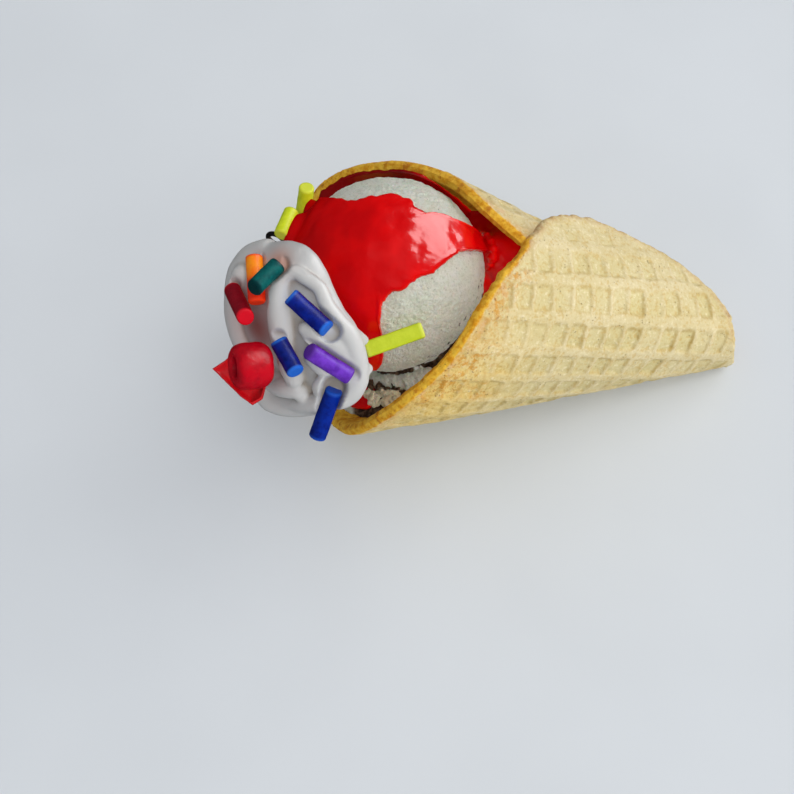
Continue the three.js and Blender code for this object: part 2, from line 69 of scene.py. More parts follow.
# ---------------- driving sizes, as in the part
TIP = np.array([103.6, 13.0, 0.0])
HALF_ANGLE = 16.5 * DEG
YAW = 1.5 * DEG
WALL = 3.0
LAP_LIFT = 3.7
LAP_RAMP = (0.0, 80.0)
FLARE = 0.35
FLAT_SPOT = 1.0
SHEET_OUTLINE = [
    (27.5, 3), (33, -4), (43, -10.5), (58, -13.5), (75, -13), (85, -8), (92.5, 1.5), (99.5, 13),
    (103, 32), (104.5, 46), (99.5, 67), (88, 87), (66, 111), (40, 124), (20, 117.5), (3, 107),
    (-10, 99), (-15.5, 89), (-17, 74), (-13.5, 50), (-8.5, 32), (-4.5, 25), (6, 22.5), (14, 16.5), (20, 9),
]
SHEET_CENTRE = np.array([45.0, 50.0])
FLAP_POINTS = (0, 7)    # outline points of the flap's free edge
MOUTH_POINTS = (7, 17)  # and of the rim of the mouth
ROW_TURN = 13 * DEG
ROW_PITCH = 7.6
ROW_START = -5.0
RIB_PITCH = 5.4
RIB_START = 83.1
CELL_DEPTH = 0.85
RIB_DROP = 0.12

FACE_RISE = 62 * DEG
SCOOP_CENTRE = np.array([-2.0, 14.0, 34.0])
SCOOP_R = 22.4
FILL_BOTTOM = 30.0
FILL_TOP = 78.0
FILL_TILT = 35 * DEG
FILL_TOWARDS = -12 * DEG

SAUCE_POLE = (-6, 4)
# x and y from the scoop's centre in the face frame; True marks a point on its far side
SAUCE_EDGE = [
    (21.3, 5, True), (15.7, 3.4), (12.4, 1.4), (10, -1.2), (6.5, -2.6), (3.8, -4.9), (0.1, -6.7),
    (-1.6, -11.8), (-0.7, -17.5), (-3, -21.5), (-10, -19.5), (-17, -14), (-21, -6.5), (-21.5, 4, True),
    (-17.5, 13, True), (-12.3, 15.9), (-7.8, 14.7), (-3.6, 15.4), (1.9, 15.9), (4.7, 14.8), (6.1, 13.2),
    (8.4, 11.7), (10.6, 11.9), (15.4, 10.4), (20.1, 8.5),
]
POOL_DEPTH = 2.4
POOL_TOWARDS = -70 * DEG

SWIRL_TILT = 38 * DEG
SWIRL_BEARING = 214 * DEG
SWIRL_AWAY = 29.3
SWIRL_R = 19.0
SWIRL_STRETCH = 1.08

CHERRY_AT = (-28.8, -21.8, 30)
CHERRY_R = 4.9
SCRAP_THICK = 1.3
SCRAP_OUTLINE = [(-8.6, -0.5), (-2.5, -6.6), (0, -8.2), (2, -7), (3, -3.5), (2.5, 2), (-5, 2)]
EYE_TOWARDS = (-0.935, 0.313, -0.17)
EYE_WIRE_R = 0.6
EYE_RING_R = 2.0
EYE_STANDS = 4.0
EYE_SUNK = 6.0

RODS = {
    "rod_yellow_upper": ((-18.8, 20.1, 2), (-20.2, 14.9, -5), 1.8),
    "rod_yellow_lower": ((-22.3, 14.7, 1.5), (-24.5, 8.5, 5), 1.8),
    "rod_orange": ((-28.4, 1.6, 26), (-27.5, -8.5, 28.5), 1.85),
    "rod_teal": ((-22.6, -0.6, 31.5), (-28.2, -6.4, 33.5), 1.85),
    "rod_dark_red": ((-33.8, -4.9, 20), (-29.7, -11.9, 29), 1.85),
    "rod_blue_long": ((-20.1, -7.4, 34), (-11.8, -14.9, 33), 1.9),
    "rod_blue_middle": ((-22.9, -16.4, 30.5), (-18.7, -23.9, 30.5), 1.9),
    "rod_purple": ((-17, -18.3, 32), (-7.7, -24.1, 29.5), 1.85),
    "rod_lime": ((-4.9, -18.2, 21), (7.9, -13.6, 19.4), 2.5),
    "rod_blue_lower": ((-11.3, -26.4, 24), (-15.4, -37.2, 20), 1.9),
}
SQUARE_RODS = ("rod_lime",)

# ---------------- frames


def unit(v):
    return v / np.linalg.norm(v, axis=-1, keepdims=True)


# the face frame starts at the scoop's centre, with z towards the viewer
FACE_X = np.array([1.0, 0.0, 0.0])
FACE_Y = np.array([0.0, math.sin(FACE_RISE), math.cos(FACE_RISE)])
FACE_Z = np.array([0.0, -math.cos(FACE_RISE), math.sin(FACE_RISE)])
FACE_AXES = np.array([FACE_X, FACE_Y, FACE_Z])


def face_direction(x, y, z):
    return x * FACE_X + y * FACE_Y + z * FACE_Z


def face_point(x, y, z):
    return SCOOP_CENTRE + face_direction(x, y, z)


def to_face(points):
    return (points - SCOOP_CENTRE) @ FACE_AXES.T


def from_face(points):
    return points @ FACE_AXES + SCOOP_CENTRE


def find_shift():
    """From the construction frame to the row's frame, in millimetres, from where one rod ended up."""
    low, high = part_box("rod_blue_long")
    start, end, _ = RODS["rod_blue_long"]
    return (np.array(low) + np.array(high)) / 2 / MM - (face_point(*start) + face_point(*end)) / 2


SHIFT = find_shift()

SIN = math.sin(HALF_ANGLE)
COS = math.cos(HALF_ANGLE)
AXIS = np.array([-COS * math.cos(YAW), -COS * math.sin(YAW), SIN])
SIDE = np.array([math.sin(YAW), -math.cos(YAW), 0.0])
UP = unit(np.cross(AXIS, SIDE))
INNER_TIP = TIP + AXIS * WALL / SIN


def smooth(low, high, x):
    t = np.clip((x - low) / (high - low), 0, 1)
    return t * t * (3 - 2 * t)


def outward(angle):
    return np.multiply.outer(np.cos(angle), UP) + np.multiply.outer(np.sin(angle), SIDE)


def wall_axes(radial):
    """Unit vectors along the cone's outer face and out of it, on the side that radial points to."""
    return AXIS * COS + radial * SIN, radial * COS - AXIS * SIN


def turned(vectors, about, by):
    """Rodrigues' rotation of each vector by its own angle."""
    c = np.cos(by)[:, None]
    s = np.sin(by)[:, None]
    return vectors * c + np.cross(about, vectors) * s + about * (vectors @ about)[:, None] * (1 - c)


def roll(x, y, height):
    """Rolls points of the flat sheet into the cone: x, y from its tip, height above the outer face."""
    turn = np.arctan2(y, x)
    angle = turn / SIN
    line, normal = wall_axes(outward(np.maximum(angle, 0)))
    # past the lap the sheet goes on with less curvature, as the flap
    top_line, top_normal = wall_axes(UP)
    spin = top_normal - FLARE / math.tan(HALF_ANGLE) * top_line
    sense = np.sign(np.cross(spin, top_line) @ SIDE)
    by = np.where(angle < 0, sense * turn * np.linalg.norm(spin), 0.0)
    line, normal = [turned(vectors, unit(spin), by) for vectors in (line, normal)]
    lift = LAP_LIFT * (1 - smooth(*LAP_RAMP, angle / DEG))
    points = TIP + line * np.hypot(x, y)[:, None] + normal * (height + lift)[:, None]
    points[:, 2] = np.maximum(points[:, 2], FLAT_SPOT)
    return points


# ---------------- curves, noise and meshes


def curve_through(points, per_span, closed=False):
    """Centripetal Catmull-Rom curve through points."""
    p = np.array(points, float)
    if closed:
        p = np.vstack([p[-1:], p, p[:2]])
    else:
        p = np.vstack([2 * p[:1] - p[1:2], p, 2 * p[-1:] - p[-2:-1]])
    out = []
    ts = np.linspace(0, 1, per_span, endpoint=False)[:, None]
    for a, b, c, d in zip(p, p[1:], p[2:], p[3:]):
        k0, k1, k2 = (max(np.linalg.norm(q), 1e-6) ** 0.5 for q in ((b - a)[:3], (c - b)[:3], (d - c)[:3]))
        m1 = ((b - a) / k0 - (c - a) / (k0 + k1) + (c - b) / k1) * k1
        m2 = ((c - b) / k1 - (d - b) / (k1 + k2) + (d - c) / k2) * k1
        out.append(b + ts * m1 + ts ** 2 * (3 * (c - b) - 2 * m1 - m2) + ts ** 3 * (2 * (b - c) + m1 + m2))
    curve = np.vstack(out)
    return curve if closed else np.vstack([curve, p[-2:-1]])


def respace(curve, count, closed=False):
    """The curve at even steps of its length."""
    p = np.vstack([curve, curve[:1]]) if closed else curve
    along = np.concatenate([[0], np.cumsum(np.linalg.norm(np.diff(p[:, :3], axis=0), axis=1))])
    at = np.linspace(0, along[-1], count + 1)[:-1] if closed else np.linspace(0, along[-1], count)
    return np.stack([np.interp(at, along, p[:, k]) for k in range(p.shape[1])], axis=1)


def lumps(points, size, octaves, seed):
    """Smooth noise of about -1 to 1 with features of that size, in millimetres."""
    offset = Vector((17.3 * seed, -9.1 * seed, 5.7 * seed))
    return np.array([noise.fractal(Vector(p) / size + offset, 1.0, 2.0, octaves) for p in points])


def flat_lumps(xy, size, octaves, seed, height=0.0):
    """The same noise for points of a plane."""
    return lumps(np.column_stack([xy, np.full(len(xy), height)]), size, octaves, seed)


def mound(points, middle, reach):
    """1 at the middle, falling off over that reach."""
    return np.exp(-((points - np.asarray(middle)) ** 2).sum(axis=-1) / reach ** 2)


def circle(across, up, count):
    """Unit vectors all round, in the plane of two that are square to each other."""
    around = np.linspace(0, 2 * math.pi, count, endpoint=False)
    return np.cos(around)[:, None] * across + np.sin(around)[:, None] * up


def side_axes(axis, hint):
    """Three unit vectors with the last along axis."""
    axis = unit(np.asarray(axis, float))
    x = unit(np.cross(hint, axis))
    return np.array([x, np.cross(axis, x), axis])


def new_object(name, points, faces):
    """A smooth object at the origin, from points of the construction frame in millimetres."""
    mesh = bpy.data.meshes.new(name)
    mesh.from_pydata(((np.asarray(points) + SHIFT) * MM).tolist(), [], faces)
    bm = bmesh.new()
    bm.from_mesh(mesh)
    bmesh.ops.remove_doubles(bm, verts=bm.verts, dist=1e-7)
    bmesh.ops.recalc_face_normals(bm, faces=bm.faces)
    bm.to_mesh(mesh)
    bm.free()
    mesh.polygons.foreach_set("use_smooth", [True] * len(mesh.polygons))
    obj = bpy.data.objects.new(name, mesh)
    bpy.context.scene.collection.objects.link(obj)
    return obj


def vectors_of(items, key):
    flat = np.empty(len(items) * 3)
    items.foreach_get(key, flat)
    return flat.reshape(-1, 3)


def points_of(obj):
    """An object's vertices in the construction frame, in millimetres."""
    return vectors_of(obj.data.vertices, "co") / MM - SHIFT


def normals_of(obj):
    return vectors_of(obj.data.vertex_normals, "vector")


def set_points(obj, points):
    obj.data.vertices.foreach_set("co", ((points + SHIFT) * MM).ravel())
    obj.data.update()


def push_out(obj, by):
    """Moves each vertex along its normal by its own distance."""
    set_points(obj, points_of(obj) + normals_of(obj) * by[:, None])


def paint(obj, **layers):
    """Stores numbers for the material to read, one a vertex in each layer."""
    for name, values in layers.items():
        layer = obj.data.attributes.new(name, "FLOAT", "POINT")
        layer.data.foreach_set("value", np.asarray(values, float))


def hollows(obj, rounds, depth):
    """How deep each vertex lies below its surroundings, 0 to 1 at depth in millimetres; ridges get 0."""
    count = len(obj.data.vertices)
    ends = np.empty(len(obj.data.edges) * 2, int)
    obj.data.edges.foreach_get("vertices", ends)
    links = np.bincount(ends, minlength=count)[:, None]
    a, b = ends.reshape(-1, 2).T
    places = points_of(obj)
    soft = places
    for _ in range(rounds):
        totals = [np.bincount(a, column[b], count) + np.bincount(b, column[a], count) for column in soft.T]
        soft = np.stack(totals, axis=1) / links
    return np.clip(((soft - places) * normals_of(obj)).sum(axis=1) / depth, 0, 1)


def apply_modifiers(obj):
    graph = bpy.context.evaluated_depsgraph_get()
    fresh = bpy.data.meshes.new_from_object(obj.evaluated_get(graph))
    old = obj.data
    obj.modifiers.clear()
    obj.data = fresh
    bpy.data.meshes.remove(old)


def melt(obj, voxel):
    """Joins overlapping closed shapes of one mesh into one skin."""
    remesh = obj.modifiers.new("skin", "REMESH")
    remesh.mode = "VOXEL"
    remesh.voxel_size = voxel * MM
    remesh.use_smooth_shade = True
    apply_modifiers(obj)


def soften(obj, rounds):
    soft = obj.modifiers.new("soft", "SMOOTH")
    soft.factor = 0.5
    soft.iterations = rounds
    apply_modifiers(obj)


class Shape:
    """Collects closed surfaces made of rows of points; a point's faces go by its number."""

    def __init__(self):
        self.points = []
        self.faces = []

    def add(self, points):
        """Adds points and gives back their numbers, in the same rows."""
        points = np.asarray(points, float)
        start = sum(len(part) for part in self.points)
        self.points.append(points.reshape(-1, points.shape[-1]))
        return (start + np.arange(len(self.points[-1]))).reshape(points.shape[:-1]).tolist()

    def join(self, a, b, closed=True):
        """Quads between two rows; closed goes on from their ends to their starts."""
        quads = list(zip(a, a[1:] + a[:1], b[1:] + b[:1], b))
        self.faces += quads if closed else quads[:-1]

    def band(self, rows, closed=True):
        for a, b in zip(rows, rows[1:]):
            self.join(a, b, closed)

    def tube(self, rings):
        """A closed tube from rings of points, with its ends closed to their middles."""
        rows = self.add(rings)
        self.band(rows)
        for end in (0, -1):
            middle = self.add(np.mean(rings[end], axis=0))
            self.faces += [(middle, a, b) for a, b in zip(rows[end], rows[end][1:] + rows[end][:1])]

    def slab(self, top, bottom):
        """A closed patch between two grids of the same size."""
        rims = []
        for rows in (self.add(top), self.add(bottom)):
            self.band(rows, closed=False)
            grid = np.array(rows)
            rims.append([*rows[0], *grid[1:, -1].tolist(), *rows[-1][-2::-1], *grid[-2:0:-1, 0].tolist()])
        self.join(*rims)

    def ball(self, centre, radii, columns, rows, axes=np.eye(3)):
        """An ellipsoid; axes are three unit vectors."""
        x, y, z = axes * np.reshape(radii, (3, 1))
        polar = np.linspace(0, math.pi, rows + 2)[1:-1]
        self.tube([centre + math.sin(p) * circle(x, y, columns) + math.cos(p) * z for p in polar])

    def make(self, name):
        return new_object(name, np.vstack(self.points), self.faces)


# ---------------- material building


def rgb(red, green, blue):
    """A linear colour from 0-255 display values."""
    def linear(c):
        c /= 255
        return c / 12.92 if c <= 0.04045 else ((c + 0.055) / 1.055) ** 2.4
    return (linear(red), linear(green), linear(blue), 1.0)


class Shader:
    """A node material with a few short-hands; its colours are 0-255 display values or sockets."""

    def __init__(self, name, **sockets):
        self.material = bpy.data.materials.new(name)
        self.material.use_nodes = True
        self.tree = self.material.node_tree
        self.surface = self.tree.nodes["Principled BSDF"]
        for key, value in sockets.items():
            self.surface.inputs[key.replace("_", " ")].default_value = value
        self.place = self.node("ShaderNodeTexCoord").outputs["Object"]

    def feed(self, socket, value):
        if isinstance(value, bpy.types.NodeSocket):
            self.tree.links.new(value, socket)
        else:
            socket.default_value = rgb(*value) if isinstance(value, tuple) else value

    def node(self, kind, **inputs):
        made = self.tree.nodes.new(kind)
        for key, value in inputs.items():
            self.feed(made.inputs[key.replace("_", " ")], value)
        return made

    def noise(self, size, detail, roughness=0.55, distortion=0.0):
        """Noise with features of about that size, in millimetres."""
        made = self.node("ShaderNodeTexNoise", Vector=self.place, Scale=1 / (size * MM), Detail=detail,
                         Roughness=roughness, Distortion=distortion)
        return made.outputs["Fac"]

    def cells(self, size):
        return self.node("ShaderNodeTexVoronoi", Vector=self.place, Scale=1 / (size * MM)).outputs["Distance"]

    def read(self, name):
        made = self.node("ShaderNodeAttribute")
        made.attribute_name = name
        return made.outputs["Fac"]

    def step(self, value, low, high):
        """0 below low, 1 above high; high may be the smaller."""
        made = self.node("ShaderNodeMapRange", Value=value, From_Min=low, From_Max=high)
        made.interpolation_type = "SMOOTHSTEP"
        return made.outputs["Result"]

    def patches(self, size, detail, low, high, roughness=0.55):
        """1 in patches where noise of that size is above high."""
        return self.step(self.noise(size, detail, roughness), low, high)

    def math(self, operation, a, b):
        made = self.node("ShaderNodeMath")
        made.operation = operation
        self.feed(made.inputs[0], a)
        self.feed(made.inputs[1], b)
        return made.outputs[0]

    def times(self, a, b):
        return self.math("MULTIPLY", a, b)

    def add(self, a, b):
        return self.math("ADD", a, b)

    def blend(self, share, a, b):
        """Colour a where share is 0, b where it is 1."""
        made = self.node("ShaderNodeMix")
        made.data_type = "RGBA"
        self.feed(made.inputs["Factor"], share)
        self.feed(made.inputs["A"], a)
        self.feed(made.inputs["B"], b)
        return made.outputs["Result"]

    def layered(self, colour, *layers):
        """The colour with others over it, each as far as its amount times its shares."""
        for amount, over, *shares in layers:
            for share in shares:
                amount = self.times(share, amount)
            colour = self.blend(amount, colour, over)
        return colour

    def finish(self, colour, height, depth):
        """The material, with relief from a height of 0 to 1 that is so deep in millimetres."""
        relief = self.node("ShaderNodeBump", Height=height, Strength=1.0, Distance=depth * MM)
        self.feed(self.surface.inputs["Base Color"], colour)
        self.feed(self.surface.inputs["Normal"], relief.outputs["Normal"])
        return self.material


def dress(obj, material, slot_name, *nodes):
    """Gives a piece its material and body, and puts it in the place of CAD nodes, inside their box; the slot
    name is not used.
    """
    low, high = [np.array(corner) / MM - SHIFT for corner in cad_box]
    set_points(obj, np.clip(points_of(obj), low + BOX_MARGIN, high - BOX_MARGIN))
    obj.data.materials.clear()
    obj.data.materials.append(material)
    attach(obj, "root")
    if nodes:
        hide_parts(*nodes)


# ---------------- waffle sheet
GRID = 281  # points along a side of the outer face's grid
STAINS = [(97, 28, 6), (88, 36, 3), (100, 38, 6), (95, 8, 4), (98, 16, 4)]  # x, y, radius on the flat sheet
WARM_SIDE = ((99, 40), 17)  # middle and radius of the part of the outer face that is more golden
LIP_CURL = ((104, 56), 13)  # and of the part of the lip that bends inward
LIP_CURL_DEPTH = 1.1
FAINT_ROWS = (-22.0, -11.0)  # across the rows: the cells are faint before the first, full past the next
FAINT_SHARE = 0.35
GOLD_POINTS = (6, 17)  # the outline points between which the edge is golden
EDGE_ROUND = (0.9, 1.35)  # radius of the sheet's corners at the flap's free edge and at the mouth
EDGE_BULGE = 0.12
NEARNESS_BATCH = 4000


def disc_grid(count):
    """A square grid as a disc: how far out each point lies, and where round it, both as shares."""
    side = np.linspace(-1, 1, count)
    a, b = np.meshgrid(side, side, indexing="ij")
    wide = np.abs(a) >= np.abs(b)
    u = np.where(wide, a, b)
    v = np.where(wide, b, -a)
    angle = math.pi / 4 * v / np.where(u == 0, 1, u) + np.where(wide, 0, math.pi / 2)
    angle += np.where(u < 0, math.pi, 0)
    return np.abs(u).ravel(), (angle / (2 * math.pi) % 1.0).ravel()


def disc_rim(grid):
    """A square grid's outer numbers, in the order of growing angle from the corner at -45 degrees."""
    return np.concatenate([grid[-1, :-1], grid[:0:-1, -1], grid[0, :0:-1], grid[:-1, 0]]).tolist()


def ring_at(outline, at, offset):
    """Points of the outline at shares of its length, moved outward by an offset."""
    ahead = np.roll(outline, -1, axis=0) - np.roll(outline, 1, axis=0)
    outside = unit(np.stack([ahead[:, 1], -ahead[:, 0]], axis=1))
    grid = np.arange(len(outline) + 1) / len(outline)
    spot, push = [np.stack([np.interp(at, grid, np.append(column, column[0])) for column in table.T], axis=1)
                  for table in (outline, outside)]
    return spot + push * np.asarray(offset).reshape(-1, 1)


def nearness(xy, outline, span, reach):
    """1 on part of the outline, falling to 0 that far from it."""
    first, last = [int(share * len(outline)) for share in span]
    part = outline[first:last:2]
    away = np.empty(len(xy))
    for start in range(0, len(xy), NEARNESS_BATCH):
        batch = slice(start, start + NEARNESS_BATCH)
        away[batch] = np.sqrt(((xy[batch, None, :] - part[None]) ** 2).sum(axis=2).min(axis=1))
    return np.clip(1 - away / reach, 0, 1)


def waffle_relief(xy):
    """How deep each point of the outer face lies, how far it is in a cell, and how near to a cell's wall."""
    x, y = xy.T
    u = x * math.cos(ROW_TURN) + y * math.sin(ROW_TURN) + 0.5 * flat_lumps(xy, 7, 3, 1) - RIB_START
    w = -x * math.sin(ROW_TURN) + y * math.cos(ROW_TURN) + 0.45 * flat_lumps(xy, 8, 3, 2)
    row = (w - ROW_START) % ROW_PITCH
    rib = u % RIB_PITCH
    in_row = smooth(0.95, 1.8, np.minimum(row, ROW_PITCH - row))
    in_cell = in_row * smooth(0.35, 1.05, np.minimum(rib, RIB_PITCH - rib))
    pressed = 0.75 + 0.5 * flat_lumps(xy, 14, 2, 3)
    # each cell has its own depth
    each = np.sin(12.9898 * np.floor((w - ROW_START) / ROW_PITCH) + 78.233 * np.floor(u / RIB_PITCH))
    pressed = np.clip(pressed * (0.85 + 0.35 * ((each * 43758.5453) % 1.0 - 0.5) * 2), 0.25, 1.15)
    pressed *= FAINT_SHARE + (1 - FAINT_SHARE) * smooth(*FAINT_ROWS, w)
    depth = np.maximum(CELL_DEPTH * in_cell, RIB_DROP * in_row) * pressed
    return depth, in_cell * pressed, 4 * in_cell * (1 - in_cell) * pressed


def make_waffle():
    outline = respace(curve_through(SHEET_OUTLINE, 40, closed=True), 4 * (GRID - 1), closed=True)
    # where along the outline its given points lie, as shares
    given = [np.argmin(((outline - p) ** 2).sum(axis=1)) / len(outline) for p in SHEET_OUTLINE]
    flap, mouth, gold = [(given[a], given[b]) for a, b in (FLAP_POINTS, MOUTH_POINTS, GOLD_POINTS)]
    shape = Shape()

    def by_mouth(at, ramp):
        return smooth(flap[1], flap[1] + ramp, at) * (1 - smooth(mouth[1], mouth[1] + ramp, at))

    def corner_radius(at):
        return EDGE_ROUND[0] + (EDGE_ROUND[1] - EDGE_ROUND[0]) * by_mouth(at, 0.03)

    def crumbly(at):
        """How far the crumbled edge stands out."""
        ring = ring_at(outline, at, 0)
        tamer = 1 - 0.55 * by_mouth(at, 0.02)
        return tamer * (0.5 * flat_lumps(ring, 3.2, 3, 5) + 0.22 * flat_lumps(ring, 1.3, 2, 6))

    def face_grid(count):
        reach, at = disc_grid(count)
        edge = ring_at(outline, at, crumbly(at) - corner_radius(at))
        return SHEET_CENTRE + (edge - SHEET_CENTRE) * reach[:, None], at

    def lay(xy, height, inside=0.0, cut=0.0, cell=0.0, wall=0.0):
        """Adds points of the flat sheet, with what the material reads, and gives back their numbers."""
        columns = (*xy.T, height, inside, cut, cell, wall)
        return shape.add(np.stack([np.broadcast_to(column, len(xy)) for column in columns], axis=1))

    # the outer face
    xy, at = face_grid(GRID)
    depth, cell, wall = waffle_relief(xy)
    border = nearness(xy, outline, (0, 1), 3.5)
    plain = 1 - smooth(0.25, 0.8, border)
    rough = 0.14 * flat_lumps(xy, 3.5, 3, 4) + 0.06 * flat_lumps(xy, 1.0, 2, 7)
    rough += 0.22 * border * flat_lumps(xy, 2.4, 2, 8)
    rough += 0.35 * nearness(xy, outline, flap, 3.0) * np.maximum(flat_lumps(xy, 2.1, 2, 10), 0)
    grid = np.reshape(lay(xy, rough - depth * plain, cell=cell * plain, wall=wall * plain), (GRID, GRID))
    shape.band(grid.tolist(), closed=False)

    # the edge: how far each ring drops and stands out round a corner, how far it is down the cut with 1 to 2
    # for the lower corner, and how plainly it shows as cut
    profile = [(1 - math.cos(t * DEG), math.sin(t * DEG), 0, 0.3) for t in (30, 60, 90)]
    profile += [(1, 1, share, 1.0) for share in (0.25, 0.5, 0.75)]
    profile += [(1, math.cos(t * DEG), 1 + math.sin(t * DEG), 0.8) for t in (0, 30, 60)]
    last = disc_rim(grid)
    at = at[last]
    radius = corner_radius(at)
    bite = crumbly(at)
    for drop, out, down, cut in profile:
        height = -radius * drop - (WALL - 2 * radius) * min(down, 1) - radius * max(down - 1, 0)
        push = bite + radius * (out - 1) + EDGE_BULGE * math.sin(min(down, 1) * math.pi)
        grain = flat_lumps(ring_at(outline, at, push), 0.8, 2, 9, height)
        ring = lay(ring_at(outline, at, push + 0.09 * grain), height, 0 if down < 1 else 0.5, cut)
        shape.join(last, ring)
        last = ring

    # the inner face, half as fine
    half = GRID // 2 + 1
    xy, _ = face_grid(half)
    grid = np.reshape(lay(xy, -WALL + 0.06 * flat_lumps(xy, 3, 2, 6, 1.0), inside=1), (half, half))
    shape.band(grid.tolist(), closed=False)
    inner = disc_rim(grid)
    for a, b, c, now, then in zip(last[::2], last[1::2], last[2::2] + last[:1], inner, inner[1:] + inner[:1]):
        shape.faces += [(a, b, now), (b, c, then, now)]

    x, y, height, inside, cut, cell, wall = np.vstack(shape.points).T
    xy = np.stack([x, y], axis=1)
    places = roll(x, y, height - LIP_CURL_DEPTH * mound(xy, *LIP_CURL))
    obj = new_object("waffle_cone_visual", places, shape.faces)
    stain = sum(mound(xy, (a, b), reach) for a, b, reach in STAINS) * (1 - inside)
    paint(obj, cell=cell, wall=wall, inside=inside, cut=cut, stain=stain, warm=mound(xy, *WARM_SIDE),
          flap=nearness(xy, outline, flap, 8.0), mouth=nearness(xy, outline, mouth, 12.0),
          gold=nearness(xy, outline, gold, 12.0))
    dress(obj, waffle_material(), "waffle", "waffle_cone")


def waffle_material():
    s = Shader("wafer", Roughness=0.8, Specular_IOR_Level=0.15)
    warm, mouth, stain, gold_edge = [s.read(name) for name in ("warm", "mouth", "stain", "gold")]
    mottle = s.noise(1.8, 5, 0.65)
    rough = s.add(s.times(mottle, 0.5), s.times(s.noise(0.7, 4, 0.65), 0.5))
    pores = s.times(s.step(s.cells(0.9), 0.2, 0.1), s.patches(3.2, 2, 0.52, 0.64))
    pale = s.layered(
        s.blend(s.patches(8, 3, 0.35, 0.65), (220, 204, 160), (212, 195, 146)),
        # darker, yellower cell floors: painted shade of the recesses
        (0.7, (208, 195, 139), s.read("cell")),
        (0.75, (232, 198, 108), warm),
        (s.add(s.times(warm, 0.35), 0.45), (198, 160, 80), s.step(rough, 0.49, 0.4)),
        (0.4, (248, 236, 202), s.step(rough, 0.53, 0.63)),
        # tan along the cells' walls: painted shade, with a tan tint
        (0.75, (186, 154, 78), s.read("wall"), s.patches(3.5, 2, 0.36, 0.56)),
        # browner wafer along the mouth, with orange brown and pinkish stains, and along the free edge
        (0.55, (210, 158, 74), s.step(mouth, 0.45, 0.95), s.step(mottle, 0.4, 0.56)),
        (0.3, (222, 170, 138), s.step(mouth, 0.35, 0.8), s.patches(3.0, 2, 0.54, 0.64)),
        (0.8, (206, 144, 50), stain, s.patches(1.6, 5, 0.47, 0.6, 0.7)),
        (0.8, (116, 66, 24), stain, s.patches(0.9, 3, 0.62, 0.7, 0.6)),
        (0.75, (182, 134, 76), s.step(s.read("flap"), 0.66, 0.98), s.step(mottle, 0.4, 0.58)),
    )
    gold = s.layered(s.blend(s.step(mottle, 0.36, 0.66), (236, 188, 62), (206, 138, 22)),
                     (0.6, (168, 86, 24), s.patches(2.2, 4, 0.56, 0.66, 0.6)))
    # gold inside, on the cut of the golden edge and just over its corner
    on_cut = s.times(s.step(s.read("cut"), 0.1, 0.3), s.step(gold_edge, 0.6, 0.85))
    over_corner = s.step(s.add(gold_edge, s.times(mottle, 0.16)), 0.96, 1.03)
    golden = s.math("MAXIMUM", s.step(s.read("inside"), 0.3, 0.7), s.math("MAXIMUM", on_cut, over_corner))
    colour = s.layered(s.blend(golden, pale, gold), (0.6, (140, 96, 36), pores))
    return s.finish(colour, s.math("SUBTRACT", rough, s.times(pores, 0.5)), 0.6)


# ---------------- filling and scoop
FILL_NORMAL = AXIS * math.cos(FILL_TILT) + outward(np.array([FILL_TOWARDS]))[0] * math.sin(FILL_TILT)
INSIDE_GAP = 0.15
# on the filling's top, from its middle, to the right and up as the viewer sees it, and out of it
FILL_X = unit(FACE_X - FILL_NORMAL * (FACE_X @ FILL_NORMAL))
FILL_AXES = np.array([FILL_X, np.cross(FILL_NORMAL, FILL_X), FILL_NORMAL])
FILL_MIDDLE = TIP + AXIS * FILL_TOP / (AXIS @ FILL_NORMAL)
# x, y and height in that frame, along the torn ledge of foam round the scoop's foot
FOOT_LEDGE = [(-21.0, -12.2, 0.6), (-17.9, -14.4, 1.1), (-14.9, -16.0, 1.2), (-11.6, -17.4, 1.0),
              (-8.6, -18.2, 0.6), (-5.4, -18.7, 0.1)]
FOOT_LEDGE_R = 2.1
FOOT_LEDGE_BALLS = 26
SKIRT = 1.3  # how far down and out the ledge's second row of balls lies
CREVICE = 0.9  # half the width of the painted shade line between the scoop and the filling
# middle, spread and number of crumbs
CRUMB_HEAPS = [((-22.5, -14.4), 0.8, 16), ((-19.5, -16.4), 0.9, 20), ((-16.6, -17.8), 0.8, 14),
               ((-22.8, -17.3), 0.6, 14), ((-21.3, -19.2), 0.8, 22), ((-18.5, -20.4), 0.8, 22),
               ((-15.8, -20.2), 0.7, 14)]


def fill_line(angle, inset=INSIDE_GAP):
    """Points where the filling's top meets the cone's inner wall, or a wall set in from it."""
    start = INNER_TIP + AXIS * inset / SIN
    line, _ = wall_axes(outward(angle))
    reach = (FILL_TOP - (start - TIP) @ FILL_NORMAL) / (line @ FILL_NORMAL)
    return start + line * reach[:, None]


def fill_point(x, y, height):
    return FILL_MIDDLE + np.array([x, y, height]) @ FILL_AXES


def to_fill(points):
    return (points - FILL_MIDDLE) @ FILL_AXES.T


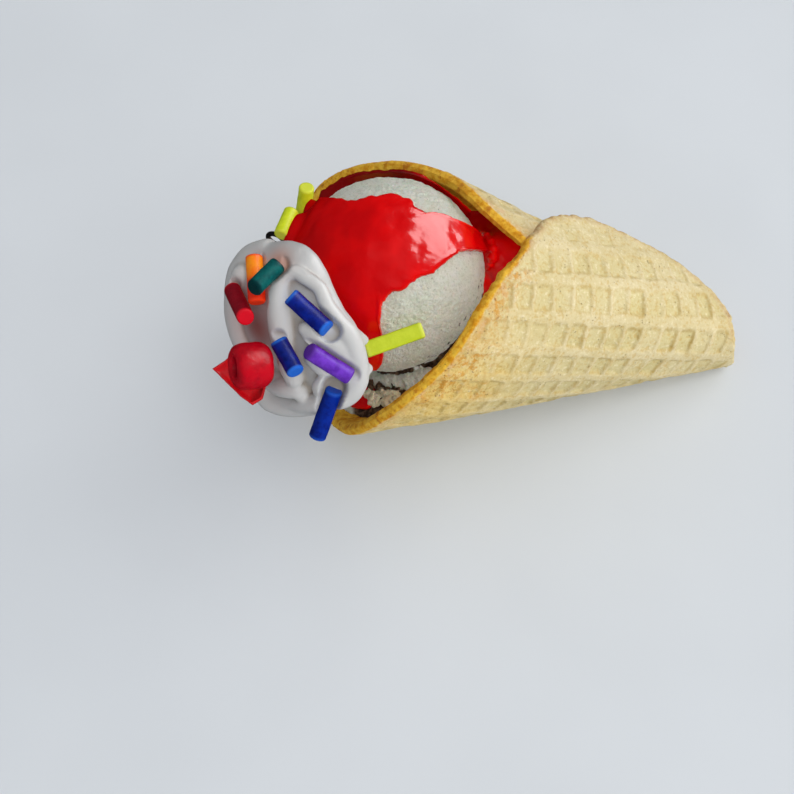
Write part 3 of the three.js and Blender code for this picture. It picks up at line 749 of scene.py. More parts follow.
def make_scoop():
    shape = Shape()
    shape.ball(SCOOP_CENTRE, (SCOOP_R,) * 3, 120, 80)
    rim = fill_line(np.linspace(0, 2 * math.pi, 96, endpoint=False))
    lines = rim - INNER_TIP
    foot = INNER_TIP + lines * (FILL_BOTTOM / (lines @ AXIS + WALL / SIN))[:, None]
    rings = [foot * (1 - t) + rim * t for t in np.linspace(0, 1, 24)]
    rings += [rim * (1 - t) + rim.mean(axis=0) * t for t in np.linspace(0.1, 0.9, 12)]
    shape.tube(rings)
    ledge = [fill_point(*p) for p in FOOT_LEDGE]
    for k, centre in enumerate(respace(curve_through(ledge, 10), FOOT_LEDGE_BALLS)):
        size = FOOT_LEDGE_R * (0.75 + 0.45 * ((k * 7) % 5) / 5)
        skirt = centre - SKIRT * FILL_NORMAL + SKIRT * unit(centre - FILL_MIDDLE)
        for middle in (centre, skirt):
            shape.ball(middle, (size, size, size * 0.8), 16, 10)
    obj = shape.make("ice_cream_visual")
    melt(obj, 0.42)
    places = points_of(obj)
    push_out(obj, 0.2 * lumps(places, 3.6, 2, 11) + 0.23 * lumps(places, 1.05, 3, 12))
    spots = to_fill(points_of(obj))
    near_ball = np.abs(np.linalg.norm(places - SCOOP_CENTRE, axis=1) - SCOOP_R)
    low = smooth(7.5, 4.5, spots[:, 2]) * smooth(-0.6, 0.1, lumps(places, 4, 2, 13))
    # painted shade, in brown: the dark line where the scoop meets the filling, and the low foam along the
    # wall at the front
    crevice = smooth(CREVICE * 1.6, CREVICE * 0.4, near_ball) * low * hollows(obj, 12, 0.16)
    away = np.linalg.norm(to_face(places)[:, :2], axis=1)
    front = smooth(-9.5, -13.5, spots[:, 1] + 1.5 * lumps(places, 3.5, 3, 16)) * smooth(-31, -27, spots[:, 0])
    paint(obj, brown=np.clip(crevice + smooth(1.6, 0.5, spots[:, 2]) * smooth(19, 21, away) * front, 0, 1))
    make_crumbs()
    foam = scoop_material("foam ice cream", (255, 255, 240), (250, 251, 232))
    dress(obj, foam, "ice_cream", "ice_cream_scoop")


def make_crumbs():
    """Loose foam crumbs on the filling at the scoop's foot, brown in their hollows, low down and towards the
    wall: partly brown stain, partly painted shade.
    """
    rng = np.random.default_rng(5)
    shape = Shape()
    for (x, y), spread, count in CRUMB_HEAPS:
        for _ in range(count):
            at = rng.normal(0, spread, 2)
            size = rng.uniform(0.5, 1.2)
            centre = fill_point(x + at[0], y + at[1], rng.uniform(0.2, 2.2))
            axes = side_axes(rng.normal(size=3), rng.normal(size=3))
            radii = (size, size * rng.uniform(0.5, 0.9), size * rng.uniform(0.4, 0.8))
            shape.ball(centre, radii, 12, 7, axes)
    obj = shape.make("ice_cream_crumbs_visual")
    melt(obj, 0.2)
    places = points_of(obj)
    push_out(obj, 0.32 * lumps(places, 1.0, 4, 14))
    x, y, height = to_fill(places).T
    inward = smooth(-18.4, -16.8, y + 0.45 * (x + 19) + lumps(places, 1.5, 2, 15))
    # brown mask: partly stain, partly painted shade in the hollows, at the crumbs' bottoms and towards the
    # wall
    paint(obj, brown=np.clip(inward + 0.8 * hollows(obj, 10, 0.35) + smooth(0.7, 0.3, height), 0, 1))
    dress(obj, scoop_material("crumbs", (255, 240, 208), (244, 222, 184)), "ice_cream")


def scoop_material(name, light, dark):
    s = Shader(name, Roughness=0.9, Specular_IOR_Level=0.2, Subsurface_Weight=0.15, Subsurface_Scale=1.5 * MM)
    fine = s.noise(0.5, 4, 0.65, 0.4)
    pits = s.times(s.step(s.cells(1.5), 0.16, 0.06), s.patches(4, 2, 0.45, 0.6))
    colour = s.layered(
        s.blend(s.patches(6, 2, 0.35, 0.65), light, dark),
        (0.44, (212, 213, 186), s.step(s.noise(1.2, 5, 0.75, 1.5), 0.54, 0.38)),
        # darker in the fine hollows of the grain and in the pits: painted shade of the foam's relief
        (0.35, (186, 184, 156), s.step(fine, 0.46, 0.32)),
        (0.6, (120, 112, 86), pits),
        # dark brown where the brown mask is: on the scoop, painted shade of the crevice and of the gap by the
        # wall; on the crumbs, partly brown stain and partly painted shade
        (s.step(s.read("brown"), 0.15, 0.7),
         s.blend(s.patches(1.4, 3, 0.4, 0.62), (66, 47, 35), (124, 98, 76))),
    )
    fibres = s.add(fine, s.noise(0.42, 5, 0.75, 1.2))
    return s.finish(colour, s.add(fibres, s.times(s.cells(0.85), -0.6)), 0.85)


# ---------------- strawberry sauce
COVER_GRID = (90, 520)  # rings over the scoop, and points in each
COVER_SINKS = 0.35
BEAD = 1.3  # the width over which the sauce thins out at its edge
SAUCE_RODS = ("rod_yellow_lower", "rod_yellow_upper")
ROD_BEDDING = 0.55  # of a rod's radius: how far below its axis the sauce reaches
ROD_MOUND = 1.15  # width of the mound below a rod, in radii
ROD_MOUND_MOST = 3.2
POOL_GRID = (160, 60)
POOL_SPAN = (-105 * DEG, 86 * DEG)
POOL_MOUND = ((16.5, 6.0), 6.0)  # middle and radius of where the sauce stands higher beside the scoop
POOL_MOUND_RISE = 5.0
# the sauce that has run down the scoop's right side, in the face frame, with its radius
DRIP = [(21.6, 9.6, 3.0, 0.5), (22.8, 8.2, 4.6, 0.8), (23.6, 6.6, 5.8, 0.9), (23.9, 5.0, 6.3, 1.0),
        (23.8, 3.5, 6.2, 0.9), (23.3, 2.1, 5.6, 0.8), (22.8, 1.0, 4.8, 0.5)]
# the patch on the filling, inside the lip: its outline, and the size and height of its rings
RED_PATCH = [(-24.0, -12.0), (-27.3, -13.2), (-30.0, -14.4), (-30.2, -16.2), (-27.2, -18.4), (-24.1, -19.4),
             (-22.9, -17.4), (-22.6, -14.6)]
PATCH_PROFILE = [(1.0, -0.4), (1.0, 0.3), (0.97, 0.65), (0.9, 0.85), (0.75, 0.95), (0.4, 0.9), (0.1, 0.9)]
PATCH_SIDES = 90
# the thin layer of sauce on the inner wall: distance from the cone's tip, and where it starts, in degrees
LINING = [(78, -98), (84, -91), (87, -84), (91, -79), (95, -71.5), (100, -64), (106, -56), (110, -55),
          (113, -62), (116, -71), (120, -80), (124, -89), (126, -95), (129, -103)]
LINING_ROWS = 110
LINING_WIDTH = 70.0
LINING_THICK = 0.35
LINING_SINKS = 0.3


def scoop_direction(x, y, far=False):
    depth = math.sqrt(max(0, SCOOP_R ** 2 - x * x - y * y))
    return unit(face_direction(x, y, -depth if far else depth))


def angles_from(start, ends):
    return np.arccos(np.clip(ends @ start, -1, 1))


def turned_towards(start, ends, share):
    """Directions that are a share of the way round from one direction to others, or one share each."""
    angle = angles_from(start, ends)[:, None]
    share = np.reshape(share, (-1, 1))
    return unit(np.sin((1 - share) * angle) * start + np.sin(share * angle) * ends)


def bedded(spots, thick):
    """The sauce's thickness at spots of the scoop, raised to the rods that lie in it."""
    for name in SAUCE_RODS:
        start, end, radius = RODS[name]
        for share in np.linspace(0, 1, 9):
            axis = face_point(*start) * (1 - share) + face_point(*end) * share - SCOOP_CENTRE
            away = np.linalg.norm(axis)
            wanted = away - SCOOP_R - ROD_BEDDING * radius
            near = mound(spots, axis / away * SCOOP_R, ROD_MOUND * radius)
            if wanted < ROD_MOUND_MOST:
                thick = np.maximum(thick, thick * (1 - near) + wanted * near)
    return thick


def add_cover(shape):
    """The sauce over the scoop, with a ragged, rounded edge."""
    rings, sides = COVER_GRID
    pole = scoop_direction(*SAUCE_POLE)
    edge = curve_through([scoop_direction(*p) for p in SAUCE_EDGE], 30, closed=True)
    edge = unit(respace(edge, sides, closed=True))
    ragged = 0.75 * lumps(edge * SCOOP_R, 3.0, 3, 21) + 0.25 * lumps(edge * SCOOP_R, 1.0, 2, 22)
    edge = turned_towards(pole, edge, 1 + ragged / SCOOP_R / angles_from(pole, edge))
    angle = angles_from(pole, edge)
    skins = []
    for k in range(1, rings + 1):
        share = 1 - (1 - k / rings) ** 1.6
        ring = turned_towards(pole, edge, share)
        gap = (1 - share) * angle * SCOOP_R
        bead = np.sqrt(np.clip(1 - (1 - np.clip(gap / BEAD, 0, 1)) ** 2, 0, 1))
        swell = 1.0 + 0.15 * np.exp(-((gap - BEAD) / 1.1) ** 2) + 0.35 * lumps(ring * SCOOP_R, 6, 2, 23)
        height = bedded(ring * SCOOP_R, bead * swell) + 0.45 * (bead > 0)
        skins.append(SCOOP_CENTRE + ring * (SCOOP_R - COVER_SINKS + height[:, None]))
    for share, depth in ((1.0, 1.2), (0.6, 1.6), (0.2, 1.6)):
        skins.append(SCOOP_CENTRE + turned_towards(pole, edge, share) * (SCOOP_R - depth))
    shape.tube(skins)


def add_pool(shape):
    """The pool between the scoop and the wall, beaded where it meets the scoop."""
    columns, rows = POOL_GRID
    shares = np.linspace(0.35, 1, rows)
    rim = fill_line(POOL_TOWARDS + np.linspace(*POOL_SPAN, columns), 0.1)
    middle = fill_line(np.linspace(0, 2 * math.pi, 60, endpoint=False)).mean(axis=0)
    flat = middle + (rim[:, None] - middle) * shares[None, :, None]

    def lumpy(size, octaves, seed):
        return lumps(flat.reshape(-1, 3), size, octaves, seed).reshape(POOL_GRID)

    to_wall = (1 - shares)[None] * np.linalg.norm(rim - middle, axis=1)[:, None]
    to_scoop = np.linalg.norm(flat - SCOOP_CENTRE, axis=2) - SCOOP_R
    along = np.linspace(0, 1, columns)[:, None] + 0.05 * lumpy(7.0, 3, 29)
    ends = np.sqrt(np.clip(np.minimum(along, 1 - along) / 0.06, 0, 1))
    rise = POOL_DEPTH * (0.6 + 0.25 * lumpy(4, 2, 25)) + 1.2 * np.exp(-to_wall / 1.2)
    rise += 2.4 * (0.6 + 0.9 * lumpy(2.2, 2, 28)) * np.exp(-np.maximum(to_scoop, 0) / 1.6)
    rise += POOL_MOUND_RISE * mound(to_fill(flat)[..., :2], *POOL_MOUND)
    rise = rise * ends - 0.7 * (1 - ends)
    shape.slab(flat + FILL_NORMAL * rise[:, :, None], flat - FILL_NORMAL * 0.8)


def add_patch(shape):
    outline = respace(curve_through(RED_PATCH, 12, closed=True), PATCH_SIDES, closed=True)
    middle = outline.mean(axis=0)
    wobble = 1 + 0.05 * flat_lumps(outline, 1.4, 3, 26)
    rings = []
    for share, height in PATCH_PROFILE:
        flat = middle + (outline - middle) * (share * wobble)[:, None]
        rings.append([fill_point(x, y, height) for x, y in flat])
    shape.tube(rings)


def add_lining(shape):
    stops = np.array(LINING, float)
    away = np.linspace(stops[0, 0], stops[-1, 0], LINING_ROWS)
    start = np.interp(away, *stops.T)
    spots = np.column_stack([away, start])
    width = LINING_WIDTH * np.minimum(1, 0.25 + 5 * (1 - away / 130))
    width = width * (1 + 0.1 * flat_lumps(spots, 14, 2, 30))
    start += 1.2 * flat_lumps(spots, 3.5, 3, 27)
    across = np.concatenate([[0, 0.004, 0.012, 0.03], np.linspace(0.06, 1, 24)])
    thick = LINING_THICK * np.concatenate([[0, 0.6, 0.9, 1.0], np.ones(24)])
    turn = (start[:, None] - across * width[:, None] + 360) * DEG * SIN
    reach = np.sqrt(away ** 2 - WALL ** 2)[:, None]
    row = np.arange(LINING_ROWS)[:, None]
    fade = np.minimum(1, np.minimum(row + 1, LINING_ROWS - row) / 3)
    x, y = (reach * np.cos(turn)).ravel(), (reach * np.sin(turn)).ravel()
    heights = (-WALL - thick * fade).ravel(), np.full(len(x), LINING_SINKS - WALL)
    shape.slab(*[roll(x, y, height).reshape(LINING_ROWS, -1, 3) for height in heights])


def make_sauce():
    shape = Shape()
    add_cover(shape)
    add_pool(shape)
    drip = curve_through(DRIP, 10)
    drip[:, 3] *= 1 + 0.5 * lumps(drip[:, :3], 0.9, 2, 33)
    shape.tube(rope_rings(drip, 2))
    add_patch(shape)
    add_lining(shape)
    obj = shape.make("strawberry_sauce_visual")
    # darker on the thin layer on the wall, clear of the filling and towards the mouth: painted shade
    places = points_of(obj)
    axial = (places - INNER_TIP) @ AXIS
    across = np.linalg.norm(places - INNER_TIP - np.multiply.outer(axial, AXIS), axis=1)
    on_wall = smooth(1.2, 0.8, axial * math.tan(HALF_ANGLE) - across)
    paint(obj, thin=on_wall * smooth(1.0, 2.5, to_fill(places)[:, 2]) * smooth(92, 100, axial))
    dress(obj, sauce_material(), "strawberry_sauce", "strawberry_sauce")


def sauce_material():
    s = Shader("strawberry sauce", Roughness=0.18, Subsurface_Weight=0.12, Subsurface_Scale=1.2 * MM,
               Subsurface_Radius=(1.0, 0.12, 0.08))
    colour = s.blend(s.patches(8, 2, 0.35, 0.65), (222, 2, 5), (206, 0, 5))
    # dark red on the wall's lining: painted shade
    colour = s.blend(s.read("thin"), colour, (132, 10, 12))
    return s.finish(colour, s.add(s.times(s.noise(2.2, 2), 0.3), s.noise(5.0, 2)), 0.28)


# ---------------- whipped cream
SWIRL_AXIS = face_direction(math.cos(SWIRL_BEARING) * math.cos(SWIRL_TILT),
                            math.sin(SWIRL_BEARING) * math.cos(SWIRL_TILT), math.sin(SWIRL_TILT))
SWIRL_X = face_direction(-math.sin(SWIRL_BEARING), math.cos(SWIRL_BEARING), 0)
SWIRL_AXES = np.array([SWIRL_X, np.cross(SWIRL_AXIS, SWIRL_X), SWIRL_AXIS])

# the piped ropes: x, y, z from the scoop's centre in the face frame, and radius
CREAM_ROPES = {
    "hook": [(-22.0, -18.7, 26.1, 1.8), (-22.3, -15.8, 27.7, 2.5), (-22.6, -12.5, 28.9, 2.7),
        (-22.7, -9.2, 30.0, 2.6), (-22.6, -6.4, 30.8, 2.3), (-21.9, -4.1, 31.6, 1.9),
        (-20.6, -2.8, 32.4, 1.6), (-18.7, -2.6, 33.1, 1.5), (-17.0, -3.7, 33.6, 1.5),
        (-15.3, -4.8, 33.9, 1.5), (-13.9, -6.0, 34.1, 1.5), (-13.1, -7.9, 34.0, 1.6),
        (-12.3, -9.7, 33.8, 1.7), (-11.2, -11.3, 33.5, 1.8), (-9.8, -13.2, 32.8, 2.0),
        (-8.4, -14.8, 32.0, 2.2), (-7.4, -16.8, 31.1, 2.3), (-6.6, -19.1, 29.9, 2.3),
        (-5.6, -21.6, 28.3, 1.9)],
    "purple_ridge": [(-5.6, -21.6, 28.3, 1.9), (-7.2, -21.0, 29.5, 1.7), (-9.1, -20.1, 30.3, 1.6),
        (-11.8, -18.7, 30.9, 1.6), (-14.5, -17.0, 31.0, 1.5), (-16.6, -15.6, 31.0, 1.3)],
    "right_lobe": [(-17.0, -14.1, 30.9, 1.8), (-15.1, -15.1, 30.9, 2.4), (-12.4, -16.4, 30.8, 2.6),
        (-10.1, -17.4, 30.7, 2.4), (-8.3, -18.9, 30.2, 2.0)],
    "front_lobe": [(-6.0, -22.6, 27.8, 2.2), (-6.7, -24.7, 26.1, 2.8), (-8.5, -26.8, 24.3, 3.2),
        (-10.9, -27.4, 23.8, 3.6), (-12.3, -26.2, 25.1, 3.2)],
    "under_purple": [(-15.9, -20.1, 28.6, 1.8), (-13.4, -21.8, 28.3, 2.2), (-10.5, -23.2, 27.8, 2.2),
        (-7.9, -23.9, 27.3, 2.0)],
    "curl": [(-14.9, -27.4, 23.8, 1.1), (-15.0, -26.2, 25.5, 1.2), (-13.9, -25.1, 27.2, 1.4),
        (-12.1, -24.7, 28.1, 1.6), (-10.5, -25.1, 27.7, 1.6)],
    "arc_in": [(-25.7, -25.2, 15.8, 1.8), (-23.8, -25.9, 17.8, 2.3), (-21.4, -26.3, 20.0, 2.4),
        (-19.4, -27.0, 21.1, 2.0), (-18.4, -28.3, 20.1, 1.6)],
    "arc_mid": [(-27.3, -27.0, 10.8, 1.8), (-25.1, -28.3, 11.1, 2.2), (-22.0, -29.2, 13.3, 2.3),
        (-18.3, -29.6, 17.9, 2.3), (-15.1, -29.4, 20.6, 2.4), (-12.4, -28.3, 22.9, 2.6)],
    "arc_out": [(-28.2, -28.1, 10.8, 1.8), (-26.4, -29.4, 11.0, 2.2), (-23.7, -30.3, 12.0, 2.3),
        (-20.3, -30.5, 14.2, 2.3), (-16.3, -30.0, 17.6, 2.3), (-12.4, -28.9, 21.1, 2.4)],
    "high_point": [(-9.0, -15.3, 30.6, 2.4), (-6.8, -15.9, 29.4, 1.9), (-5.1, -16.3, 28.0, 1.2)],
    "low_point": [(-8.4, -20.9, 28.6, 2.4), (-6.0, -21.7, 27.6, 2.0), (-4.2, -22.3, 26.4, 1.3)],
    "centre": [(-21.7, -20.4, 25.1, 2.0), (-20.7, -22.5, 24.3, 2.2), (-20.1, -24.4, 23.0, 2.0)],
    "back_low": [(-23.6, -26.1, 9.7, 2.4), (-27.7, -22.3, 7.5, 2.8), (-31.7, -15.7, 7.1, 3.0),
        (-33.5, -8.5, 9.3, 3.2), (-32.9, -2.2, 13.4, 3.2), (-29.8, 1.9, 18.4, 3.0), (-25.8, 3.2, 22.5, 2.6)],
    "back_high": [(-23.0, -24.6, 18.2, 1.8), (-27.6, -22.4, 13.9, 2.4), (-32.1, -16.0, 12.7, 2.6),
        (-33.7, -7.9, 15.2, 2.6), (-31.8, -1.7, 19.7, 2.2)],
}
CREAM_BODY = 0.96  # of the dome that the ropes lie on
CREAM_RISE = 8.5
CREAM_UNDERSIDE = 4.5
CREAM_RED_BOUNCE_SHADE = ((-29.0, -13.5, 22.0), 6.5)  # middle and reach of the painted shade and red reflected light above the cherry, from the cherry and the rods
CREAM_ORANGE_BOUNCE = ((-22.9, -0.3, 30.5), 3.2)  # and of the painted orange reflected light beside the teal rod, from the orange rod
CREAM_NECK = (12.0, 10.0, 8.0)
NECK_AT = (0.0, -4.0, -6.0)  # in the swirl's frame
# how far out the body's rim reaches at each bearing, in degrees, as a share of the dome
CREAM_RIM = [
    (-163, 0.99), (-119, 1.0), (-60, 1.0), (-16, 0.97), (8, 0.92), (30, 0.94), (39, 0.96), (58, 0.96),
    (68, 0.92), (78, 0.86), (90, 0.88), (99, 0.93), (106, 1.01), (116, 1.10), (124, 1.12), (135, 1.09),
    (150, 1.02), (172, 0.97),
]
ROPE_SIDES = 20
ROPE_REACH = (0.2, 1.5)  # how far from a rope the colour of the ropes fades
ROD_SINKS = 0.4  # of a rod's radius: how far below its axis the cream stays


def rope_rings(points, steps=8):
    """Rings of a round rope whose points carry its radius, with rounded ends."""
    path = curve_through(points, steps)
    centre = from_face(path[:, :3])
    radius = path[:, 3]
    along = unit(np.gradient(centre, axis=0))
    side = unit(np.cross(along, FACE_Z))
    up = np.cross(side, along)

    def ring(k, bend):
        """Round point k of the path, or on its rounded end by so many degrees, negative at the first."""
        middle = centre[k] + along[k] * radius[k] * math.sin(bend * DEG)
        return middle + radius[k] * math.cos(bend * DEG) * circle(side[k], up[k], ROPE_SIDES)

    stops = [(0, -85), (0, -60), (0, -30)] + [(k, 0) for k in range(len(centre))]
    return [ring(k, bend) for k, bend in stops + [(-1, 30), (-1, 60), (-1, 85)]]


def make_cream():
    shape = Shape()
    centre = SCOOP_CENTRE + SWIRL_AXIS * SWIRL_AWAY
    around = np.linspace(0, 360, 144, endpoint=False)
    reach = np.interp(around, *zip(*CREAM_RIM), period=360) * CREAM_BODY * SWIRL_R
    loop = reach[:, None] * circle(SWIRL_AXES[0] * SWIRL_STRETCH, SWIRL_AXES[1], len(around))
    rings = []
    for polar in np.linspace(2, 178, 60) * DEG:
        height = math.cos(polar) * (CREAM_RISE if polar < math.pi / 2 else CREAM_UNDERSIDE)
        rings.append(centre + math.sin(polar) * loop + height * SWIRL_AXIS)
    shape.tube(rings)
    shape.ball(centre + np.array(NECK_AT) @ SWIRL_AXES, CREAM_NECK, 64, 32, SWIRL_AXES)
    for points in CREAM_ROPES.values():
        shape.tube(rope_rings(points))
    obj = shape.make("whipped_cream_visual")
    melt(obj, 0.38)
    soften(obj, 3)
    places = points_of(obj)
    wavy = 0.16 * lumps(places, 7, 2, 31)
    set_points(obj, pressed_by_rods(places + normals_of(obj) * wavy[:, None]))
    soften(obj, 2)
    obj.visible_glossy = False  # the sauce beside it stays a deep red
    face = to_face(points_of(obj))
    paint(obj, hollow=hollows(obj, 30, 0.5), rope=near_ropes(points_of(obj)),
          blush=mound(face, *CREAM_RED_BOUNCE_SHADE), glow=mound(face, *CREAM_ORANGE_BOUNCE))
    dress(obj, cream_material(), "whipped_cream", "whipped_cream")


def near_ropes(points):
    """1 on the ropes, falling off to 0 beside them."""
    paths = np.vstack([curve_through(rope, 8) for rope in CREAM_ROPES.values()])
    tree = KDTree(len(paths))
    for k, centre in enumerate(from_face(paths[:, :3])):
        tree.insert(centre, k)
    tree.balance()
    found = [tree.find(p) for p in points]
    return np.array([1 - smooth(*ROPE_REACH, away - paths[k, 3]) for _, k, away in found])


def pressed_by_rods(points):
    """The points, none of them higher towards the viewer's side than the rods that lie on them allow."""
    face = to_face(points)
    for name, (start, end, radius) in RODS.items():
        if name in SQUARE_RODS:
            continue
        start, end = np.array(start), np.array(end)
        along = (end - start)[:2]
        at = np.clip((face[:, :2] - start[:2]) @ along / (along @ along), 0, 1)
        axis = start + at[:, None] * (end - start)
        away = np.linalg.norm(face[:, :2] - axis[:, :2], axis=1)
        limit = axis[:, 2] - ROD_SINKS * radius + 2.5 * np.maximum(away - radius, 0)
        face[:, 2] = np.where(away < radius + 0.8, np.minimum(face[:, 2], limit), face[:, 2])
    return from_face(face)


def cream_material():
    s = Shader("whipped cream", Roughness=0.42, Subsurface_Weight=0.12, Subsurface_Scale=1.5 * MM,
               Subsurface_Radius=(1.0, 0.8, 0.65))
    colour = s.layered(
        s.blend(s.patches(7, 2, 0.35, 0.65), (192, 192, 190), (186, 186, 185)),
        (s.read("rope"), (198, 197, 195)),
        # grey-brown in the creases: painted shade, with some dirt
        (0.75, (142, 130, 116), s.read("hollow")),
        # painted shade and red reflected light from the cherry and rods
        (0.95, (148, 70, 64), s.read("blush")),
        # painted orange reflected light from the orange rod
        (0.7, (214, 140, 112), s.read("glow")),
    )
    return s.finish(colour, s.noise(1.6, 3), 0.05)


# ---------------- cherry and red scrap
CHERRY_TURN = (-0.9, -0.1, 0.42)  # which way its hole faces
# radius and height along its skin, from the bottom of the hole round to the underside
CHERRY_PROFILE = [
    (0.05, -2.6), (1.0, -2.5), (1.55, -1.4), (1.75, 0.8), (1.9, 2.6), (2.2, 3.4), (2.8, 3.75), (3.6, 3.7),
    (4.3, 3.2), (4.75, 2.3), (4.95, 0.9), (4.95, -0.8), (4.85, -2.2), (4.4, -3.4), (3.4, -4.15), (1.8, -4.45),
    (0.05, -4.5),
]
CHERRY_SIDES = 96
SCRAP_SIDES = 96
SCRAP_CURL = 0.011
SCRAP_RIM = [(1.0, 0.25), (0.97, 0.1), (0.9, 0.0)]  # size of each ring, and how far inside the face it lies


def make_cherry():
    centre = face_point(*CHERRY_AT)
    axes = side_axes(face_direction(*CHERRY_TURN), FACE_Y)
    profile = curve_through([(r, h, 0) for r, h in CHERRY_PROFILE], 6)
    shape = Shape()
    shape.tube([centre + r * circle(*axes[:2], CHERRY_SIDES) + h * axes[2] for r, h, _ in profile])
    obj = shape.make("cherry_visual")
    places = points_of(obj)
    push_out(obj, 0.14 * lumps(places, 3.2, 2, 41) + 0.03 * lumps(places, 0.9, 2, 42))
    x, y, height = axes @ (places - centre).T
    paint(obj, hole=smooth(2.4, 1.7, np.hypot(x, y)) * (height > -3))
    s = Shader("glossy cherry", Roughness=0.34, Specular_IOR_Level=0.2, Subsurface_Weight=0.1,
               Subsurface_Scale=1.0 * MM, Subsurface_Radius=(1.0, 0.1, 0.08))
    colour = s.blend(s.patches(2.5, 3, 0.4, 0.65), (190, 0, 24), (172, 0, 22))
    # darker red in the hole: painted shade
    colour = s.blend(s.read("hole"), colour, (112, 0, 14))
    dress(obj, s.finish(colour, s.noise(0.9, 3), 0.08), "cherry", "cherry")


def make_scrap():
    centre = face_point(*CHERRY_AT)
    low = -CHERRY_R - 0.35 - SCRAP_THICK
    outline = respace(np.array(SCRAP_OUTLINE, float), SCRAP_SIDES, closed=True)
    for corner in SCRAP_OUTLINE:
        outline[np.argmin(((outline - corner) ** 2).sum(axis=1))] = corner
    outline += 0.12 * np.stack([flat_lumps(outline, 2.0, 2, 43 + k, k) for k in (0, 1)], axis=1)
    middle = outline.mean(axis=0)
    profile = [(share, 0.0) for share in (0.3, 0.6, 0.9)] + SCRAP_RIM
    profile += [(share, SCRAP_THICK - inset) for share, inset in reversed(SCRAP_RIM)]
    profile += [(share, SCRAP_THICK) for share in (0.6, 0.3)]
    rings = []
    for share, height in profile:
        out = (outline - middle) * share
        curl = SCRAP_CURL * (out ** 2).sum(axis=1)
        rings.append(centre + np.column_stack([middle + out, low + height + curl]) @ FACE_AXES)
    shape = Shape()
    shape.tube(rings)
    obj = shape.make("cherry_scrap_visual")
    s = Shader("red scrap", Roughness=0.38)
    colour = s.blend(s.patches(1.8, 3, 0.4, 0.65), (214, 10, 22), (192, 6, 18))
    dress(obj, s.finish(colour, s.noise(0.8, 3), 0.1), "red_scrap", "cherry_scrap")


# ---------------- sugar rods
# slot, light and dark colour of the side, and colour of the ends
ROD_LOOKS = {
    "rod_yellow_upper": ("rod_yellow", (214, 226, 42), (196, 212, 24), (206, 212, 62)),
    "rod_yellow_lower": ("rod_yellow", (214, 226, 42), (196, 212, 24), (206, 212, 62)),
    "rod_orange": ("rod_orange", (255, 150, 20), (252, 120, 14), (246, 62, 24)),
    "rod_teal": ("rod_teal", (6, 98, 94), (2, 70, 72), (0, 48, 52)),
    "rod_dark_red": ("rod_dark_red", (148, 7, 28), (126, 4, 24), (226, 14, 36)),
    "rod_blue_long": ("rod_blue", (0, 33, 142), (0, 18, 106), (38, 108, 212)),
    "rod_blue_middle": ("rod_blue", (0, 28, 126), (0, 15, 92), (38, 108, 212)),
    "rod_purple": ("rod_purple", (116, 56, 196), (86, 32, 158), (96, 50, 160)),
    "rod_lime": ("rod_lime", (192, 205, 44), (182, 197, 34), (216, 224, 86)),
    "rod_blue_lower": ("rod_blue", (0, 40, 146), (0, 22, 108), (30, 84, 190)),
}
ROD_TIP = 0.75  # length of the paler end
# along the rod and in from its side, round the end's edge
ROD_BEVEL = [(0.0, 0.34), (0.05, 0.24), (0.24, 0.06), (0.42, 0.0)]
# how far each end leans back from the viewer, as a slope: at the first end and at the last
ROD_SLANTS = {
    "rod_teal": (0.0, 0.4), "rod_dark_red": (0.0, 0.25), "rod_blue_long": (0.0, 0.42),
    "rod_blue_middle": (0.0, 0.42), "rod_purple": (0.36, 0.0), "rod_blue_lower": (0.2, 0.0),
    "rod_yellow_upper": (0.0, 0.3), "rod_lime": (0.0, 0.1),
}
ROD_SLANT_REACH = 2.5  # of its radius: how far along the rod the slant is felt
ROD_CAP = 0.22  # how far in from the side the end's flat starts
ROD_SIDES = 48
SQUARE_POWER = 7.0  # of the rounded square that is the square rods' outline


def make_rod(name, seed):
    start, end, radius = RODS[name]
    start, end = face_point(*start), face_point(*end)
    length = np.linalg.norm(end - start)
    along = (end - start) / length
    across = unit(np.cross(along, FACE_Z))
    up = np.cross(across, along)
    loop = circle(across, up, ROD_SIDES)
    reach = np.full(ROD_SIDES, radius)
    if name in SQUARE_RODS:
        parts = np.abs(loop @ np.array([across, up]).T) ** SQUARE_POWER
        reach = parts.sum(axis=1) ** (-1 / SQUARE_POWER) * radius / math.sqrt(2)
    # distance along the rod, how far in from its side, and share of the way out
    cap = [(0.0, ROD_CAP, share) for share in (0.35, 0.7)] + [(at, cut, 1.0) for at, cut in ROD_BEVEL]
    bevel = ROD_BEVEL[-1][0]
    stops = cap + [(at, 0.0, 1.0) for at in np.linspace(bevel, length - bevel, 22)[1:-1]]
    stops += [(length - at, cut, share) for at, cut, share in reversed(cap)]
    shape = Shape()
    shape.tube([start + along * at + (reach - cut)[:, None] * share * loop for at, cut, share in stops])
    obj = shape.make(name + "_visual")
    places = points_of(obj)
    at = (places - start) @ along
    paint(obj, along=at / length, tip=smooth(ROD_TIP, 0.3 * ROD_TIP, np.minimum(at, length - at)))
    push_out(obj, 0.05 * lumps(places, 2.4, 2, 50 + seed))
    rise = (places - start) @ up * math.copysign(1, up @ FACE_Z) + radius
    first, last = ROD_SLANTS.get(name, (0.0, 0.0))
    fade = ROD_SLANT_REACH * radius
    lean = first * rise * smooth(fade, 0, at) - last * rise * smooth(fade, 0, length - at)
    set_points(obj, points_of(obj) + lean[:, None] * along)
    if name in SAUCE_RODS:
        obj.visible_glossy = False  # no streak of it in the sauce
    slot_name, light, dark, tip = ROD_LOOKS[name]
    dress(obj, rod_material(name, light, dark, tip), slot_name, name)


